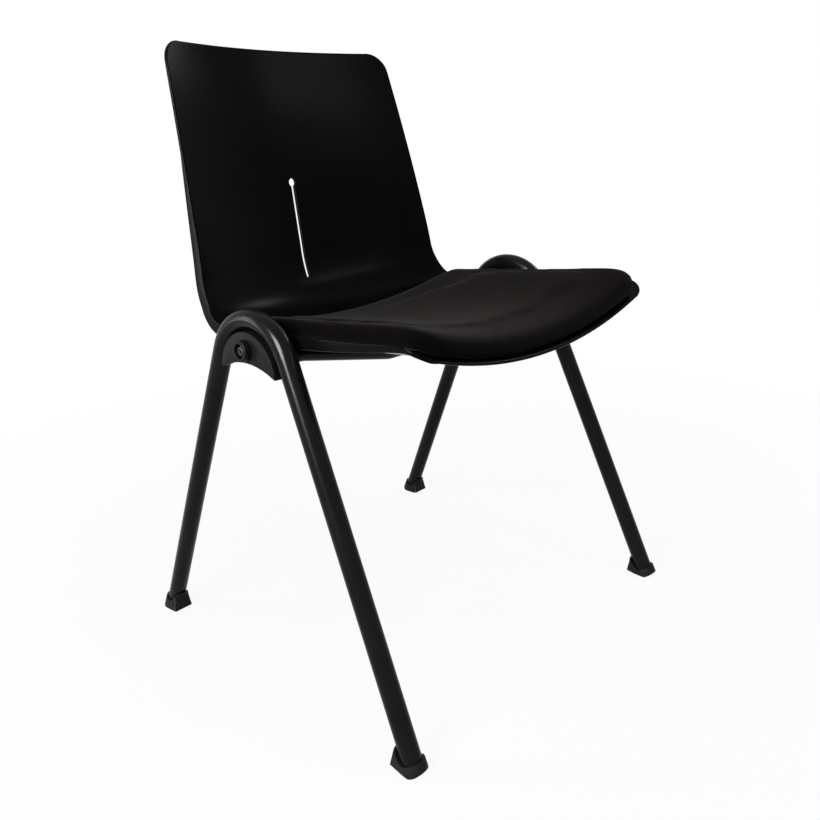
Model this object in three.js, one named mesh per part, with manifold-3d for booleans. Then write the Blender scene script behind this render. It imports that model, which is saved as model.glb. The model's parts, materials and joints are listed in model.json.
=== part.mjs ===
// Choir chair: a stacking chair with two A-shaped side frames of bent tube, a
// one-piece moulded shell for seat and back, and an upholstered seat pad.
// Millimetres, +Z up. The sitter faces -Y, so the sitter's left is +X.
// The origin is on the floor, midway between the four feet.

import * as THREE from 'three';
import { mergeVertices } from 'three/addons/utils/BufferGeometryUtils.js';
import Module from 'manifold-3d';

const wasm = await Module();
wasm.setup();

// Shared values
const clearance = 0.3; // between pieces that touch
const overrun = 60; // how far a cutter runs past what it cuts
const holeOverrun = 15; // how far a screw's hole is cut past the shell's skin

// Side frames: one bent tube each, in a plane that leans in towards the seat
const tubeRadius = 12.5;
const tubeWall = 1.5;
const floorWidth = 549.5; // between the two frames' planes, at the floor
const frontReach = 263.8; // front leg's axis at the floor, ahead of the origin
const rearReach = 263.8;
const loopTop = 491.3; // top of the tube's axis, measured up the leaning plane
const loopRadius = 70.6;
const loopForward = 5.5; // loop's middle, ahead of the origin
const frameLeanDegrees = 2.77;
const legEnd = 10; // tube's cut end, up the plane from the floor

// Side plates: moulded infill in each loop
const plateInner = 9; // inner side, inboard of the frame's plane
const plateLedge = 5; // ledge beside the tube, outboard of the plane
const plateFaceInset = 4; // raised face's edge, inside the loop's inner wall
const plateFaceRise = 3; // raised face's arc, above the bend's centre
const plateBevel = 1.2;
const plateWall = 3.5;
const plateHubRadius = 11;
const plateRib = 2.5;
const plateTip = 428; // height of the two lower corners
const archTop = 440.3; // crown of the arched lower edge
const archRadius = 123.8;

// Round boss on the plate's face, with the bolt's head sunk in it
const bossRadius = 13;
const bossHeight = 9;
const bossBevel = 1.4;
const bossDrop = 35.5; // boss's centre, below the top of the tube's axis
const recessRadius = 7.4;
const recessDepth = 7;
const boltRadius = 3;
const boltHeadRadius = 5.2;
const boltHeadHeight = 3.3;
const boltSocketRadius = 2.3;
const boltSocketDepth = 2;
const washerRadius = 6.4;
const washerThickness = 1.2;

// Under-seat frame: an end plate behind each side plate and two cross tubes
const lugThickness = 4;
const lugMargin = 1.5; // inside the loop's inner wall
const nutRadius = 5.8;
const nutHeight = 5;
const crossRadius = 8;
const crossWall = 1.5;
const crossSpacing = 73; // between the two cross tubes' axes
const crossBendInset = 19; // outer bend, in from the shell's rim
const crossBendIn = 66; // inner bend, from the mid-plane
const crossBendRadius = 60;
const crossRimGap = 3.2; // under the shell's side rim
const crossRestGap = 0.9; // under the shell's dish

// Support arms: flat bars from the cross tubes to the shell's screws
const armWidth = 25;
const armThickness = 4;
const armOut = 80; // arms' middle, from the mid-plane
const armFrontTip = 152; // ahead of the origin
const armRearTip = 96; // behind the origin
const screwMargin = 13; // screw's axis, in from the arm's tip
const armWeldShare = 0.85; // where the arm meets the tube's flank, of its radius

// Shell: one moulding for seat and back
const shellThickness = 4.8;
const rimThickness = 3.2;
const seatSideGap = 8.6; // between the shell's rim and the frames' tubes
const backTaper = 35.4; // how much nearer the mid-plane the rim is at the top
const seatEdgeDrop = 23.8; // rim's lowest point, below the top of the tube's axis
const seatRise = 17; // how far the rim climbs to the front
const seatDish = 46; // seat's middle below its rim
const seatReach = 257.5; // front edge, ahead of the origin
const seatRearReach = 90.2; // rim's turn up into the back, behind the origin
const backHeight = 350.8; // top edge above the seat's rim
const backRake = 115.7; // top edge behind the start of the bend, at the rim
const backHollow = 67; // back's middle behind its edges
const flangeDepth = 15.2; // turned-back side rim, past the rim's own thickness
const flangeBevel = 0.9;
const topCorner = 27;
const frontCorner = 25;
const slotLength = 144; // slot in the back, below its round end
const slotWidth = 7.6;
const slotFoot = 486.5; // slot's lower end above the floor
const slotEyeRadius = 6.8;

// Seat pad: board, tee nuts and the upholstered cushion
const padGap = 0.75; // between the pad's layers, which follow a curved surface
const boardThickness = 5;
const padMarginSide = 8.5; // pad's widest line, in from the shell's rim
const padMarginFront = 3;
const padRear = 124; // pad's rear edge, behind the origin, at the middle
const padFrontCorner = 34;
const padRearCorner = 46;
const padHeight = 34.5;
const padDrawnIn = 4; // how far the pad's foot is drawn in under its widest line
const padShoulder = 30; // how far in the crown's shoulder runs
const padRearHeight = 23; // pad's height at its rear edge
const padRearRound = 9; // how much lower the rounded rear edge is
const padRoundRun = 45;
const padFrontDrop = 5; // how much lower the pad's front edge is
const padDropRun = 95;
const boardMargin = 14; // board's edge, in from the pad's widest line
const screwRadius = 3;
const screwHeadRadius = 6;
const screwHeadHeight = 3.4;
const screwSocketRadius = 2.3;
const screwSocketDepth = 2;
const nutBarrelRadius = 4.6;
const nutFlangeRadius = 8;
const nutFlangeThickness = 1.2;

// Feet: a moulded cup on each leg, round at its mouth and square at its heel
const footWall = 2.8;
const footFlare = 0.8; // how much wider the cup is above its sole than at its mouth
const frontMouth = 14.5; // mouth's height at the toe and the sides, up the leg
const rearMouth = 20;
const heelRise = 25; // how much higher the mouth is at the heel
const mouthRun = 11.5; // how far from the leg's axis the mouth has climbed to the heel
const roundHeight = 35; // where the cup has become round, up the leg
const heelReach = 27.5; // heel's edge, inwards of the leg's axis at the floor
const heelHalf = 14.2; // half the width of the heel's edge
const heelLift = 4.5; // heel's edge above the floor
const sideLift = 3; // where the rounded sole meets the cup's sides
const toeLift = 9; // where it meets the toe
const soleHalf = 12; // flat sole: half its width, and its ends from the leg's axis
const soleToe = 5;
const soleHeel = 16;
const soleHeelHalf = 11;

// How finely round shapes are cut into flats, and curved runs into steps
const tubeSides = 16;
const footSides = 28;
const crossSides = 12;
const roundSides = 28;
const smallSides = 12;
const hexSides = 6;
const archSides = 72;
const outlineSteps = 8;
const bendSteps = 12;
const crossBendSteps = 2;
const armSteps = 5;
const padSteps = 60;
const noseRuns = 3; // runs between the last stations that are cut in half
const slopeStep = 0.02; // in stations, either side of where a slope is taken
const halvings = 40; // of a search along the stations
const restSamples = 12; // places where a cross tube is set against the dish

// Derived values
const lean = THREE.MathUtils.degToRad(frameLeanDegrees);
const seatEdgeHeight = loopTop - seatEdgeDrop;
const seatHalf = floorWidth / 2 - seatEdgeHeight * Math.tan(lean) - tubeRadius - seatSideGap;
const topHalf = seatHalf - backTaper;
const crossBendOut = seatHalf - crossBendInset;
const bossCentreHeight = loopTop - bossDrop;
const boltHole = boltRadius + clearance;
const screwHole = screwRadius + clearance;
const faceOut = tubeRadius; // the raised face is flush with the tube
const bossBase = faceOut + clearance;
const bossFace = bossBase + bossHeight;
const recessFloor = bossFace - recessDepth;
const lugOuter = -plateInner - clearance;
const lugInner = lugOuter - lugThickness;
const nutInner = lugInner - clearance - nutHeight;

// Materials
function finish(color, roughness, metalness) {
  return new THREE.MeshStandardMaterial({ color, roughness, metalness });
}
const paint = () => finish(0x17181a, 0.32, 0.4);
const plastic = () => finish(0x141414, 0.5, 0);
const shellPlastic = () => finish(0x0f0f10, 0.42, 0);
const rubberish = () => finish(0x1a1a1a, 0.7, 0);
const zinc = () => finish(0x4a4c50, 0.35, 0.9);
const blackSteel = () => finish(0x1e1f22, 0.35, 0.8);
const fabric = () => finish(0x211f1d, 0.95, 0);
const plywood = () => finish(0x8a6b46, 0.75, 0);

// Solids: closed meshes to and from the boolean library
function welded(geometry) {
  const plain = geometry.clone();
  plain.deleteAttribute('normal');
  plain.deleteAttribute('uv');
  return mergeVertices(plain);
}

function signedVolume(geometry) {
  const place = geometry.attributes.position;
  const order = geometry.index;
  const corner = [new THREE.Vector3(), new THREE.Vector3(), new THREE.Vector3()];
  let sum = 0;
  for (let i = 0; i < order.count; i += 3) {
    corner.forEach((point, k) => point.fromBufferAttribute(place, order.getX(i + k)));
    sum += corner[0].dot(corner[1].clone().cross(corner[2]));
  }
  return sum;
}

function turnedOut(geometry) {
  const closed = welded(geometry);
  if (signedVolume(closed) < 0) {
    const order = closed.index.array;
    for (let i = 0; i < order.length; i += 3) {
      [order[i], order[i + 1]] = [order[i + 1], order[i]];
    }
  }
  return closed;
}

function solid(geometry) {
  const closed = turnedOut(geometry);
  return new wasm.Manifold(new wasm.Mesh({
    numProp: 3,
    vertProperties: new Float32Array(closed.attributes.position.array),
    triVerts: new Uint32Array(closed.index.array),
  }));
}

function geometryOf(body) {
  const { vertProperties, triVerts } = body.getMesh();
  const geometry = new THREE.BufferGeometry();
  geometry.setAttribute('position', new THREE.BufferAttribute(vertProperties, 3));
  geometry.setIndex(new THREE.BufferAttribute(triVerts, 1));
  return geometry;
}

function piece(name, geometry, material) {
  const mesh = new THREE.Mesh(turnedOut(geometry), material);
  mesh.name = name;
  return mesh;
}

function mirrored(geometry) {
  const copy = geometry.clone();
  copy.scale(-1, 1, 1);
  return copy;
}

// Round pieces: a profile of [radius, height] turned about Y, then laid along an axis
function turned(profile, sides) {
  return new THREE.LatheGeometry(profile.map(([r, h]) => new THREE.Vector2(r, h)), sides);
}

function alongX(geometry) {
  return geometry.rotateZ(-Math.PI / 2);
}

function alongZ(geometry) {
  return geometry.rotateX(Math.PI / 2);
}

function rod(radius, from, to, sides) {
  return turned([[0, from], [radius, from], [radius, to], [0, to]], sides);
}

// A flat outline in (Y, Z) made into a slab between two X places
function slab(shape, from, to, bevel = 0) {
  const geometry = new THREE.ExtrudeGeometry(shape, {
    depth: to - from - 2 * bevel,
    bevelEnabled: bevel > 0,
    bevelThickness: bevel,
    bevelSize: bevel,
    bevelOffset: -bevel,
    bevelSegments: 2,
    curveSegments: outlineSteps,
  });
  const yzFromXy = new THREE.Matrix4().set(0, 0, 1, from + bevel, 1, 0, 0, 0, 0, 1, 0, 0, 0, 0, 0, 1);
  return geometry.applyMatrix4(yzFromXy);
}

// A path through given points, used as it stands, so that straight runs cost one step
class KnotPath extends THREE.Curve {
  constructor(points, tangents) {
    super();
    this.points = points;
    this.tangents = tangents;
  }

  knot(u) {
    return Math.round(u * (this.points.length - 1));
  }

  getPointAt(u) {
    return this.points[this.knot(u)].clone();
  }

  getTangentAt(u) {
    return this.tangents[this.knot(u)].clone();
  }
}

// Straight runs between corners, each corner rounded with one radius
function filletedPath(corners, radius, steps) {
  const points = [corners[0]];
  const tangents = [corners[1].clone().sub(corners[0]).normalize()];
  for (let i = 1; i < corners.length - 1; i += 1) {
    const before = corners[i].clone().sub(corners[i - 1]).normalize();
    const after = corners[i + 1].clone().sub(corners[i]).normalize();
    const turn = before.angleTo(after);
    const start = corners[i].clone().addScaledVector(before, -radius * Math.tan(turn / 2));
    const inward = after.clone().addScaledVector(before, -before.dot(after)).normalize();
    for (let k = 0; k <= steps; k += 1) {
      const angle = (turn * k) / steps;
      points.push(start.clone()
        .addScaledVector(before, radius * Math.sin(angle))
        .addScaledVector(inward, radius * (1 - Math.cos(angle))));
      tangents.push(before.clone().multiplyScalar(Math.cos(angle))
        .addScaledVector(inward, Math.sin(angle)));
    }
  }
  points.push(corners.at(-1));
  tangents.push(corners.at(-1).clone().sub(corners.at(-2)).normalize());
  return new KnotPath(points, tangents);
}

// A tube swept along a path; with no wall it is a plain rod, used as a cutter
function tube(path, radius, wall, sides) {
  const section = new THREE.Shape();
  section.absarc(0, 0, radius, 0, 2 * Math.PI, false);
  if (wall > 0) {
    const bore = new THREE.Path();
    bore.absarc(0, 0, radius - wall, 0, 2 * Math.PI, true);
    section.holes.push(bore);
  }
  return new THREE.ExtrudeGeometry(section, {
    steps: path.points.length - 1,
    extrudePath: path,
    curveSegments: sides / 2,
  });
}

// Side frame, in its own plane: Y forward and back, Z up the plane, X outboard
const loopCentre = { y: -loopForward, z: loopTop - loopRadius };

function leg(reach, side) {
  const across = Math.abs(loopCentre.y - side * reach);
  const span = Math.hypot(across, loopCentre.z);
  const angle = Math.atan2(loopCentre.z, across) + Math.asin(loopRadius / span);
  return {
    foot: side * reach,
    side,
    angle,
    direction: new THREE.Vector3(0, -side * Math.cos(angle), Math.sin(angle)),
    at: (height) => side * (reach - height / Math.tan(angle)),
  };
}

const frontLeg = leg(frontReach, -1);
const rearLeg = leg(rearReach, 1);

function legPoint(someLeg, height) {
  return new THREE.Vector3(0, someLeg.at(height), height);
}

function legMeeting() {
  const rise = 1 / Math.tan(frontLeg.angle) + 1 / Math.tan(rearLeg.angle);
  return legPoint(frontLeg, (frontReach + rearReach) / rise);
}

const loopPath = filletedPath(
  [legPoint(frontLeg, legEnd), legMeeting(), legPoint(rearLeg, legEnd)],
  loopRadius,
  bendSteps,
);

function sideFrame() {
  return tube(loopPath, tubeRadius, tubeWall, tubeSides);
}

function tubeCutter() {
  return solid(tube(loopPath, tubeRadius + clearance, 0, tubeSides));
}

function archCutter(extra) {
  const cutter = alongX(rod(archRadius + extra, -overrun, overrun, archSides));
  return solid(cutter.translate(0, loopCentre.y, archTop - archRadius));
}

function boltCutter(radius) {
  const cutter = alongX(rod(radius, -overrun, overrun, smallSides));
  return solid(cutter.translate(0, loopCentre.y, bossCentreHeight));
}

// The loop's inside down to the plate's lower corners, bounded by the tube's axis
function loopShape() {
  const tangentAngle = (someLeg) => Math.PI / 2 - someLeg.side * someLeg.angle;
  const shape = new THREE.Shape();
  shape.moveTo(frontLeg.at(plateTip), plateTip);
  shape.absarc(loopCentre.y, loopCentre.z, loopRadius, tangentAngle(frontLeg),
    tangentAngle(rearLeg), true);
  shape.lineTo(rearLeg.at(plateTip), plateTip);
  shape.closePath();
  return shape;
}

function domeShape(radius, centreHeight, foot) {
  const start = Math.asin(Math.max((foot - centreHeight) / radius, 0));
  const half = radius * Math.cos(start);
  const shape = new THREE.Shape();
  shape.moveTo(loopCentre.y - half, foot);
  shape.absarc(loopCentre.y, centreHeight, radius, Math.PI - start, start, true);
  shape.lineTo(loopCentre.y + half, foot);
  shape.closePath();
  return shape;
}

const faceRadius = loopRadius - tubeRadius - plateFaceInset;
const faceCentre = loopCentre.z + plateFaceRise;

function sidePlate() {
  const body = solid(slab(loopShape(), -plateInner, plateLedge));
  const face = solid(slab(domeShape(faceRadius, faceCentre, plateTip), 0, faceOut, plateBevel));
  const core = solid(slab(domeShape(faceRadius - plateWall, faceCentre, plateTip),
    -plateInner - plateWall, faceOut - plateWall));
  const hub = solid(alongX(rod(plateHubRadius, -overrun, overrun, smallSides))
    .translate(0, loopCentre.y, bossCentreHeight));
  const ribShape = new THREE.Shape();
  ribShape.moveTo(loopCentre.y - loopRadius, bossCentreHeight - plateRib / 2);
  ribShape.lineTo(loopCentre.y + loopRadius, bossCentreHeight - plateRib / 2);
  ribShape.lineTo(loopCentre.y + loopRadius, bossCentreHeight + plateRib / 2);
  ribShape.lineTo(loopCentre.y - loopRadius, bossCentreHeight + plateRib / 2);
  ribShape.closePath();
  const rib = solid(slab(ribShape, -overrun, overrun));
  const pocket = core.subtract(archCutter(plateWall)).subtract(hub).subtract(rib);
  return geometryOf(body.add(face)
    .subtract(pocket)
    .subtract(tubeCutter())
    .subtract(archCutter(0))
    .subtract(boltCutter(boltHole)));
}

function frameLug() {
  const radius = loopRadius - tubeRadius - lugMargin;
  const plate = solid(slab(domeShape(radius, loopCentre.z, plateTip), lugInner, lugOuter));
  return geometryOf(plate.subtract(archCutter(lugMargin)).subtract(boltCutter(boltHole)));
}

function atBolt(geometry) {
  return alongX(geometry).translate(0, loopCentre.y, bossCentreHeight);
}

function sideBoss() {
  const body = turned([
    [boltHole, bossBase],
    [bossRadius, bossBase],
    [bossRadius, bossFace - bossBevel],
    [bossRadius - bossBevel, bossFace],
    [recessRadius, bossFace],
    [recessRadius, recessFloor],
    [boltHole, recessFloor],
    [boltHole, bossBase],
  ], roundSides);
  return atBolt(body);
}

const washerBase = recessFloor + clearance;
const headBase = washerBase + washerThickness + clearance;

function boltWasher() {
  return atBolt(turned([
    [boltHole, washerBase],
    [washerRadius, washerBase],
    [washerRadius, washerBase + washerThickness],
    [boltHole, washerBase + washerThickness],
    [boltHole, washerBase],
  ], smallSides));
}

// A screw along +Y whose head's underside is at the given height, pointing down
function screw(tip, base, radius, headRadius, headHeight, socketRadius, socketDepth) {
  const top = base + headHeight;
  const body = solid(turned([
    [0, tip],
    [radius, tip],
    [radius, base],
    [headRadius, base],
    [headRadius, base + headHeight / 2],
    [headRadius - headHeight / 3, top],
    [0, top],
  ], smallSides));
  const socket = solid(rod(socketRadius, top - socketDepth, top + overrun, hexSides));
  return geometryOf(body.subtract(socket));
}

function frameBolt() {
  return atBolt(screw(nutInner, headBase, boltRadius, boltHeadRadius, boltHeadHeight,
    boltSocketRadius, boltSocketDepth));
}

function lugNut() {
  const block = solid(rod(nutRadius, nutInner, nutInner + nutHeight, hexSides));
  const hole = solid(rod(boltHole, -overrun, overrun, smallSides));
  return atBolt(geometryOf(block.subtract(hole)));
}

// Feet stand on the floor, so they are made upright around the leaning leg
function leaning(point) {
  return new THREE.Vector3(
    floorWidth / 2 - point.z * Math.sin(lean),
    point.y,
    point.z * Math.cos(lean),
  );
}

// The heel's corners, as a turn round the leg from the toe
const cornerTurn = (3 * Math.PI) / 4;

// A place on an outline beside the floor, at a turn from the toe: [across, inwards]
function squareHeeled(turn, half, toe, cornerHalf, heel) {
  const side = Math.PI / 2;
  if (turn > Math.PI) {
    const [across, inwards] = squareHeeled(2 * Math.PI - turn, half, toe, cornerHalf, heel);
    return [-across, inwards];
  }
  if (turn <= side) {
    return [half * Math.sin(turn), -toe * Math.cos(turn)];
  }
  if (turn <= cornerTurn) {
    const share = (turn - side) / (cornerTurn - side);
    return [half + (cornerHalf - half) * share, heel * share];
  }
  return [(cornerHalf * (Math.PI - turn)) / (Math.PI - cornerTurn), heel];
}

// How far the rounded sole has climbed where it meets the cup, at a turn from the toe
function soleLift(turn) {
  const toeward = Math.cos(turn);
  const most = toeward > 0 ? toeLift : heelLift;
  const share = toeward > 0 ? toeward ** 2 : Math.min(2 * toeward ** 2, 1);
  return sideLift + (most - sideLift) * share;
}

function foot(someLeg, mouthHeight) {
  const base = leaning(legPoint(someLeg, 0));
  const axis = leaning(legPoint(someLeg, 1)).sub(base).normalize();
  const inward = new THREE.Vector3(0, -someLeg.side, 0);
  const heelward = inward.clone().addScaledVector(axis, -axis.dot(inward)).normalize();
  const across = heelward.clone().cross(axis);
  const onLeg = new THREE.Matrix4().makeBasis(across, heelward, axis).setPosition(base);
  const cupRadius = tubeRadius + footWall;
  const cupHalf = cupRadius + footFlare;
  const cupToe = cupHalf / Math.sin(someLeg.angle) - toeLift / Math.tan(someLeg.angle);

  const turns = Array.from({ length: footSides }, (_, i) => ((i + 0.5) * 2 * Math.PI) / footSides);
  const byFloor = ([aside, inwards], height) => new THREE.Vector3(
    base.x + Math.sign(across.x) * aside,
    base.y + inward.y * inwards,
    height,
  );
  const soleRing = turns.map((turn) => byFloor(
    squareHeeled(turn, soleHalf, soleToe, soleHeelHalf, soleHeel),
    0,
  ));
  const edgeRing = turns.map((turn) => byFloor(
    squareHeeled(turn, cupHalf, cupToe, heelHalf, heelReach),
    soleLift(turn),
  ));
  const roundRing = (height) => turns.map((turn) => new THREE.Vector3(
    cupRadius * Math.sin(turn),
    -cupRadius * Math.cos(turn),
    height,
  ).applyMatrix4(onLeg));
  const heelTop = mouthHeight + heelRise;
  const rings = [soleRing, edgeRing, roundRing(Math.min(roundHeight, heelTop))];
  if (heelTop > roundHeight) {
    rings.push(roundRing(heelTop));
  }
  const cup = solid(loft(rings));
  const bore = solid(alongZ(rod(tubeRadius + clearance, legEnd - clearance, overrun, tubeSides))
    .applyMatrix4(onLeg));

  // What is cut off over the mouth, seen from the side: low at the toe, high at the heel
  const mouth = new THREE.Shape();
  mouth.moveTo(-overrun, mouthHeight);
  mouth.lineTo(0, mouthHeight);
  mouth.absellipse(0, heelTop, mouthRun, heelTop - mouthHeight, -Math.PI / 2, 0, false);
  mouth.lineTo(mouthRun, heelTop + overrun);
  mouth.lineTo(-overrun, heelTop + overrun);
  mouth.closePath();
  const mouthCutter = solid(slab(mouth, -overrun, overrun).applyMatrix4(onLeg));
  return geometryOf(cup.subtract(bore).subtract(mouthCutter));
}

// Shell stations from the top edge to the front edge.
// Back: height, rake, hollow, width, flange and section shares.
const backShares = [
  [1.0, 0.985, 0.612, 0.0, 0.0, 0.0],
  [0.917, 0.92, 0.661, 0.088, 0.0, 0.0],
  [0.775, 0.812, 0.721, 0.233, 0.0, 0.0],
  [0.633, 0.709, 0.784, 0.373, 0.09, 0.0],
  [0.491, 0.612, 0.848, 0.506, 0.41, 0.0],
  [0.349, 0.52, 0.925, 0.63, 0.7, 0.0],
  [0.221, 0.443, 0.985, 0.735, 0.93, 0.0],
  [0.121, 0.395, 1.0, 0.825, 1.0, 0.0],
];
// Bend: edge back, edge up, middle back, middle up, width, flange and section shares.
const bendShares = [
  [0.885, 0.538, 0.92, 0.576, 0.893, 1.0],
  [0.778, 0.262, 0.79, 0.297, 0.95, 0.98],
  [0.627, 0.06, 0.593, 0.109, 0.98, 0.95],
  [0.392, -0.012, 0.327, 0.03, 1.0, 0.92],
];
// Seat: forward, rise, dish, flange and section shares.
const seatShares = [
  [-0.233, 0.03, 0.88, 0.9, 0.05],
  [-0.078, 0.15, 0.93, 0.92, 0.07],
  [0.155, 0.34, 0.995, 0.94, 0.1],
  [0.388, 0.49, 1.005, 0.76, 0.12],
  [0.621, 0.7, 1.01, 0.52, 0.12],
  [0.796, 0.97, 1.02, 0.38, 0.1],
  [0.901, 0.95, 0.985, 0.16, 0.08],
  [0.955, 0.78, 0.91, 0.02, 0.06],
  [1.0, 0.53, 0.84, 0.0, 0.05],
];

function shellStations() {
  const between = (share) => topHalf + (seatHalf - topHalf) * share;
  const back = backShares.map(([up, rake, hollow, width, flange, power]) => {
    const edgeY = seatRearReach + rake * backRake;
    const edgeZ = seatEdgeHeight + up * backHeight;
    return [edgeY, edgeZ, edgeY + hollow * backHollow, edgeZ, between(width), flange, power];
  });
  const seat = seatShares.map(([forward, rise, dish, flange, power]) => {
    const y = -forward * seatReach;
    const edgeZ = seatEdgeHeight + rise * seatRise;
    return [y, edgeZ, y, edgeZ - dish * seatDish, seatHalf, flange, power];
  });
  const from = seat[0];
  const to = back.at(-1);
  const bend = bendShares.map(([edgeBack, edgeUp, midBack, midUp, width, flange]) => [
    from[0] + (to[0] - from[0]) * edgeBack,
    from[1] + (to[1] - from[1]) * edgeUp,
    from[2] + (to[2] - from[2]) * midBack,
    from[3] + (to[3] - from[3]) * midUp,
    between(width),
    flange,
    from[6] * (1 - midUp),
  ]);
  return [...back, ...bend, ...seat];
}

const stations = shellStations();
const stationLast = stations.length - 1;

function stationAt(t) {
  const i = Math.min(Math.floor(t), stationLast - 1);
  const f = t - i;
  const pick = (k) => stations[Math.max(0, Math.min(stationLast, k))];
  const weights = [
    -0.5 * f + f * f - 0.5 * f ** 3,
    1 - 2.5 * f * f + 1.5 * f ** 3,
    0.5 * f + 2 * f * f - 1.5 * f ** 3,
    -0.5 * f * f + 0.5 * f ** 3,
  ];
  return pick(i).map((_, k) => weights.reduce((sum, w, j) => sum + w * pick(i - 1 + j)[k], 0));
}

// A point of the shell's upper skin: x across, t along the stations
function skin(x, t) {
  const [edgeY, edgeZ, midY, midZ, half, , power] = stationAt(t);
  const share = Math.abs(x / half) ** (2 + power);
  return new THREE.Vector3(x, midY + (edgeY - midY) * share, midZ + (edgeZ - midZ) * share);
}

// Unit direction from the upper skin through the shell, square to the run of the stations
function through(x, t) {
  const ahead = skin(x, Math.min(t + slopeStep, stationLast));
  const run = ahead.sub(skin(x, Math.max(t - slopeStep, 0)));
  return new THREE.Vector3(0, -run.z, run.y).normalize();
}

// Half width of the outline, with its rounded top and front corners
function outlineHalf(t) {
  const [edgeY, edgeZ, , , half] = stationAt(t);
  const rounded = (radius, distance) => {
    const short = radius - Math.min(radius, Math.max(distance, 0));
    return radius - Math.sqrt(radius * radius - short * short);
  };
  const belowTop = seatEdgeHeight + backHeight - edgeZ;
  const behindFront = edgeY + seatReach;
  const top = t < backShares.length ? rounded(topCorner, belowTop) : 0;
  return half - top - rounded(frontCorner, behindFront);
}

// Where the skin is sampled across, as shares of the half width
const columnShares = [0, 0.15, 0.3, 0.44, 0.57, 0.69, 0.8, 0.89, 0.955];

function shellRing(t, slimming) {
  const half = outlineHalf(t);
  const depthAtRim = stationAt(t)[5] * flangeDepth;
  const edge = skin(half, t);
  const down = through(half, t);
  const innerX = half - rimThickness;
  const fall = Math.max(0, skin(innerX, t).sub(edge).dot(down));
  const slack = flangeBevel / 2;
  const depth = Math.max(rimThickness + fall + slack, rimThickness + depthAtRim);
  const fromEdge = (x, along) => new THREE.Vector3(x, edge.y, edge.z).addScaledVector(down, along);
  const upper = [];
  const lower = [];
  for (const share of columnShares) {
    const x = share * (half - rimThickness * 2);
    const thick = shellThickness + (rimThickness - shellThickness) * share ** 2;
    const point = skin(x, t);
    const inside = through(x, t);
    upper.push(point.clone().addScaledVector(inside, thick * slimming));
    lower.push(point.clone().addScaledVector(inside, thick * (1 - slimming)));
  }
  const nearX = half - rimThickness;
  upper.push(skin(nearX, t).addScaledVector(through(nearX, t), rimThickness * slimming));
  lower.push(skin(nearX - rimThickness, t)
    .addScaledVector(down, rimThickness * (1 - slimming)));
  const inset = slimming * rimThickness;
  upper.push(fromEdge(half - flangeBevel, slack + inset));
  upper.push(fromEdge(half - inset, flangeBevel * 2 + inset));
  upper.push(fromEdge(half - inset, depth - flangeBevel - inset / 2));
  upper.push(fromEdge(half - flangeBevel - inset, depth - inset));
  lower.push(fromEdge(nearX - slack / 2, (rimThickness + fall) * (1 - slimming) + slack / 3));
  lower.push(fromEdge(nearX, depth - (depth - rimThickness - fall) / 2 - inset));
  lower.push(fromEdge(nearX + slack / 3, depth - slack / 2 - inset));
  lower.push(fromEdge(nearX + slack, depth - inset));
  const left = (points) => points.slice(1).reverse().map((p) => new THREE.Vector3(-p.x, p.y, p.z));
  return [...left(upper), ...upper, ...lower.slice(1).reverse(), lower[0],
    ...left(lower).reverse()];
}

// A closed body through rings of equal length, whose two halves face each other
function loft(rings) {
  const count = rings[0].length;
  const place = rings.flat().flatMap((p) => [p.x, p.y, p.z]);
  const order = [];
  for (let row = 0; row < rings.length - 1; row += 1) {
    for (let i = 0; i < count; i += 1) {
      const a = row * count + i;
      const b = row * count + ((i + 1) % count);
      order.push(a, b, b + count, a, b + count, a + count);
    }
  }
  for (const [row, flip] of [[0, true], [rings.length - 1, false]]) {
    for (let i = 0; i < count / 2 - 1; i += 1) {
      const quad = [i, i + 1, count - 2 - i, count - 1 - i].map((k) => row * count + k);
      const [a, b, c, d] = flip ? quad.reverse() : quad;
      order.push(a, b, c, a, c, d);
    }
  }
  const geometry = new THREE.BufferGeometry();
  geometry.setAttribute('position', new THREE.Float32BufferAttribute(place, 3));
  geometry.setIndex(order);
  return geometry;
}

// Rows close to the top and front edges, as shares of the run between two stations
const topCornerShares = [0.03, 0.1, 0.23, 0.42, 0.68];
const frontCornerShares = [0.96, 0.86, 0.68, 0.4];

// Rows along the run: close at the rounded corners and round the bend, wide between them
function shellRows() {
  const bendStart = backShares.length - 1;
  const bendEnd = backShares.length + bendShares.length;
  const noseStart = stationLast - noseRuns;
  const rows = [...topCornerShares];
  for (let t = 1; t < stationLast;) {
    rows.push(t);
    const fine = (t >= bendStart && t < bendEnd) || (t >= noseStart && t < stationLast - 1);
    t += fine ? 0.5 : 1;
  }
  return [...rows, ...[...frontCornerShares].reverse().map((share) => stationLast - 1 + share)];
}

// The two end rings are slimmer by this share of the thickness, which rounds the edges
const endSlimmingShare = 0.28;

function shellBody() {
  const rings = [shellRing(0, endSlimmingShare)];
  shellRows().forEach((t) => rings.push(shellRing(t, 0)));
  rings.push(shellRing(stationLast, endSlimmingShare));
  return loft(rings);
}

// The station whose middle lies at a given Y, for the seat's part of the shell
function stationOfMiddle(y) {
  let low = backShares.length;
  let high = stationLast;
  for (let i = 0; i < halvings; i += 1) {
    const middle = (low + high) / 2;
    if (stationAt(middle)[2] > y) {
      low = middle;
    } else {
      high = middle;
    }
  }
  return (low + high) / 2;
}

// A point over the seat: across, row by the Y of its middle, and height above the skin
function overSeat(x, middleY, height) {
  const t = stationOfMiddle(middleY);
  return skin(x, t).addScaledVector(through(x, t), -height);
}

// Screw places and the frame of axes at each, with Z square to the skin
const screwPlaces = {
  front_left: [armOut, -armFrontTip + screwMargin],
  front_right: [-armOut, -armFrontTip + screwMargin],
  rear_left: [armOut, armRearTip - screwMargin],
  rear_right: [-armOut, armRearTip - screwMargin],
};

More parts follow.
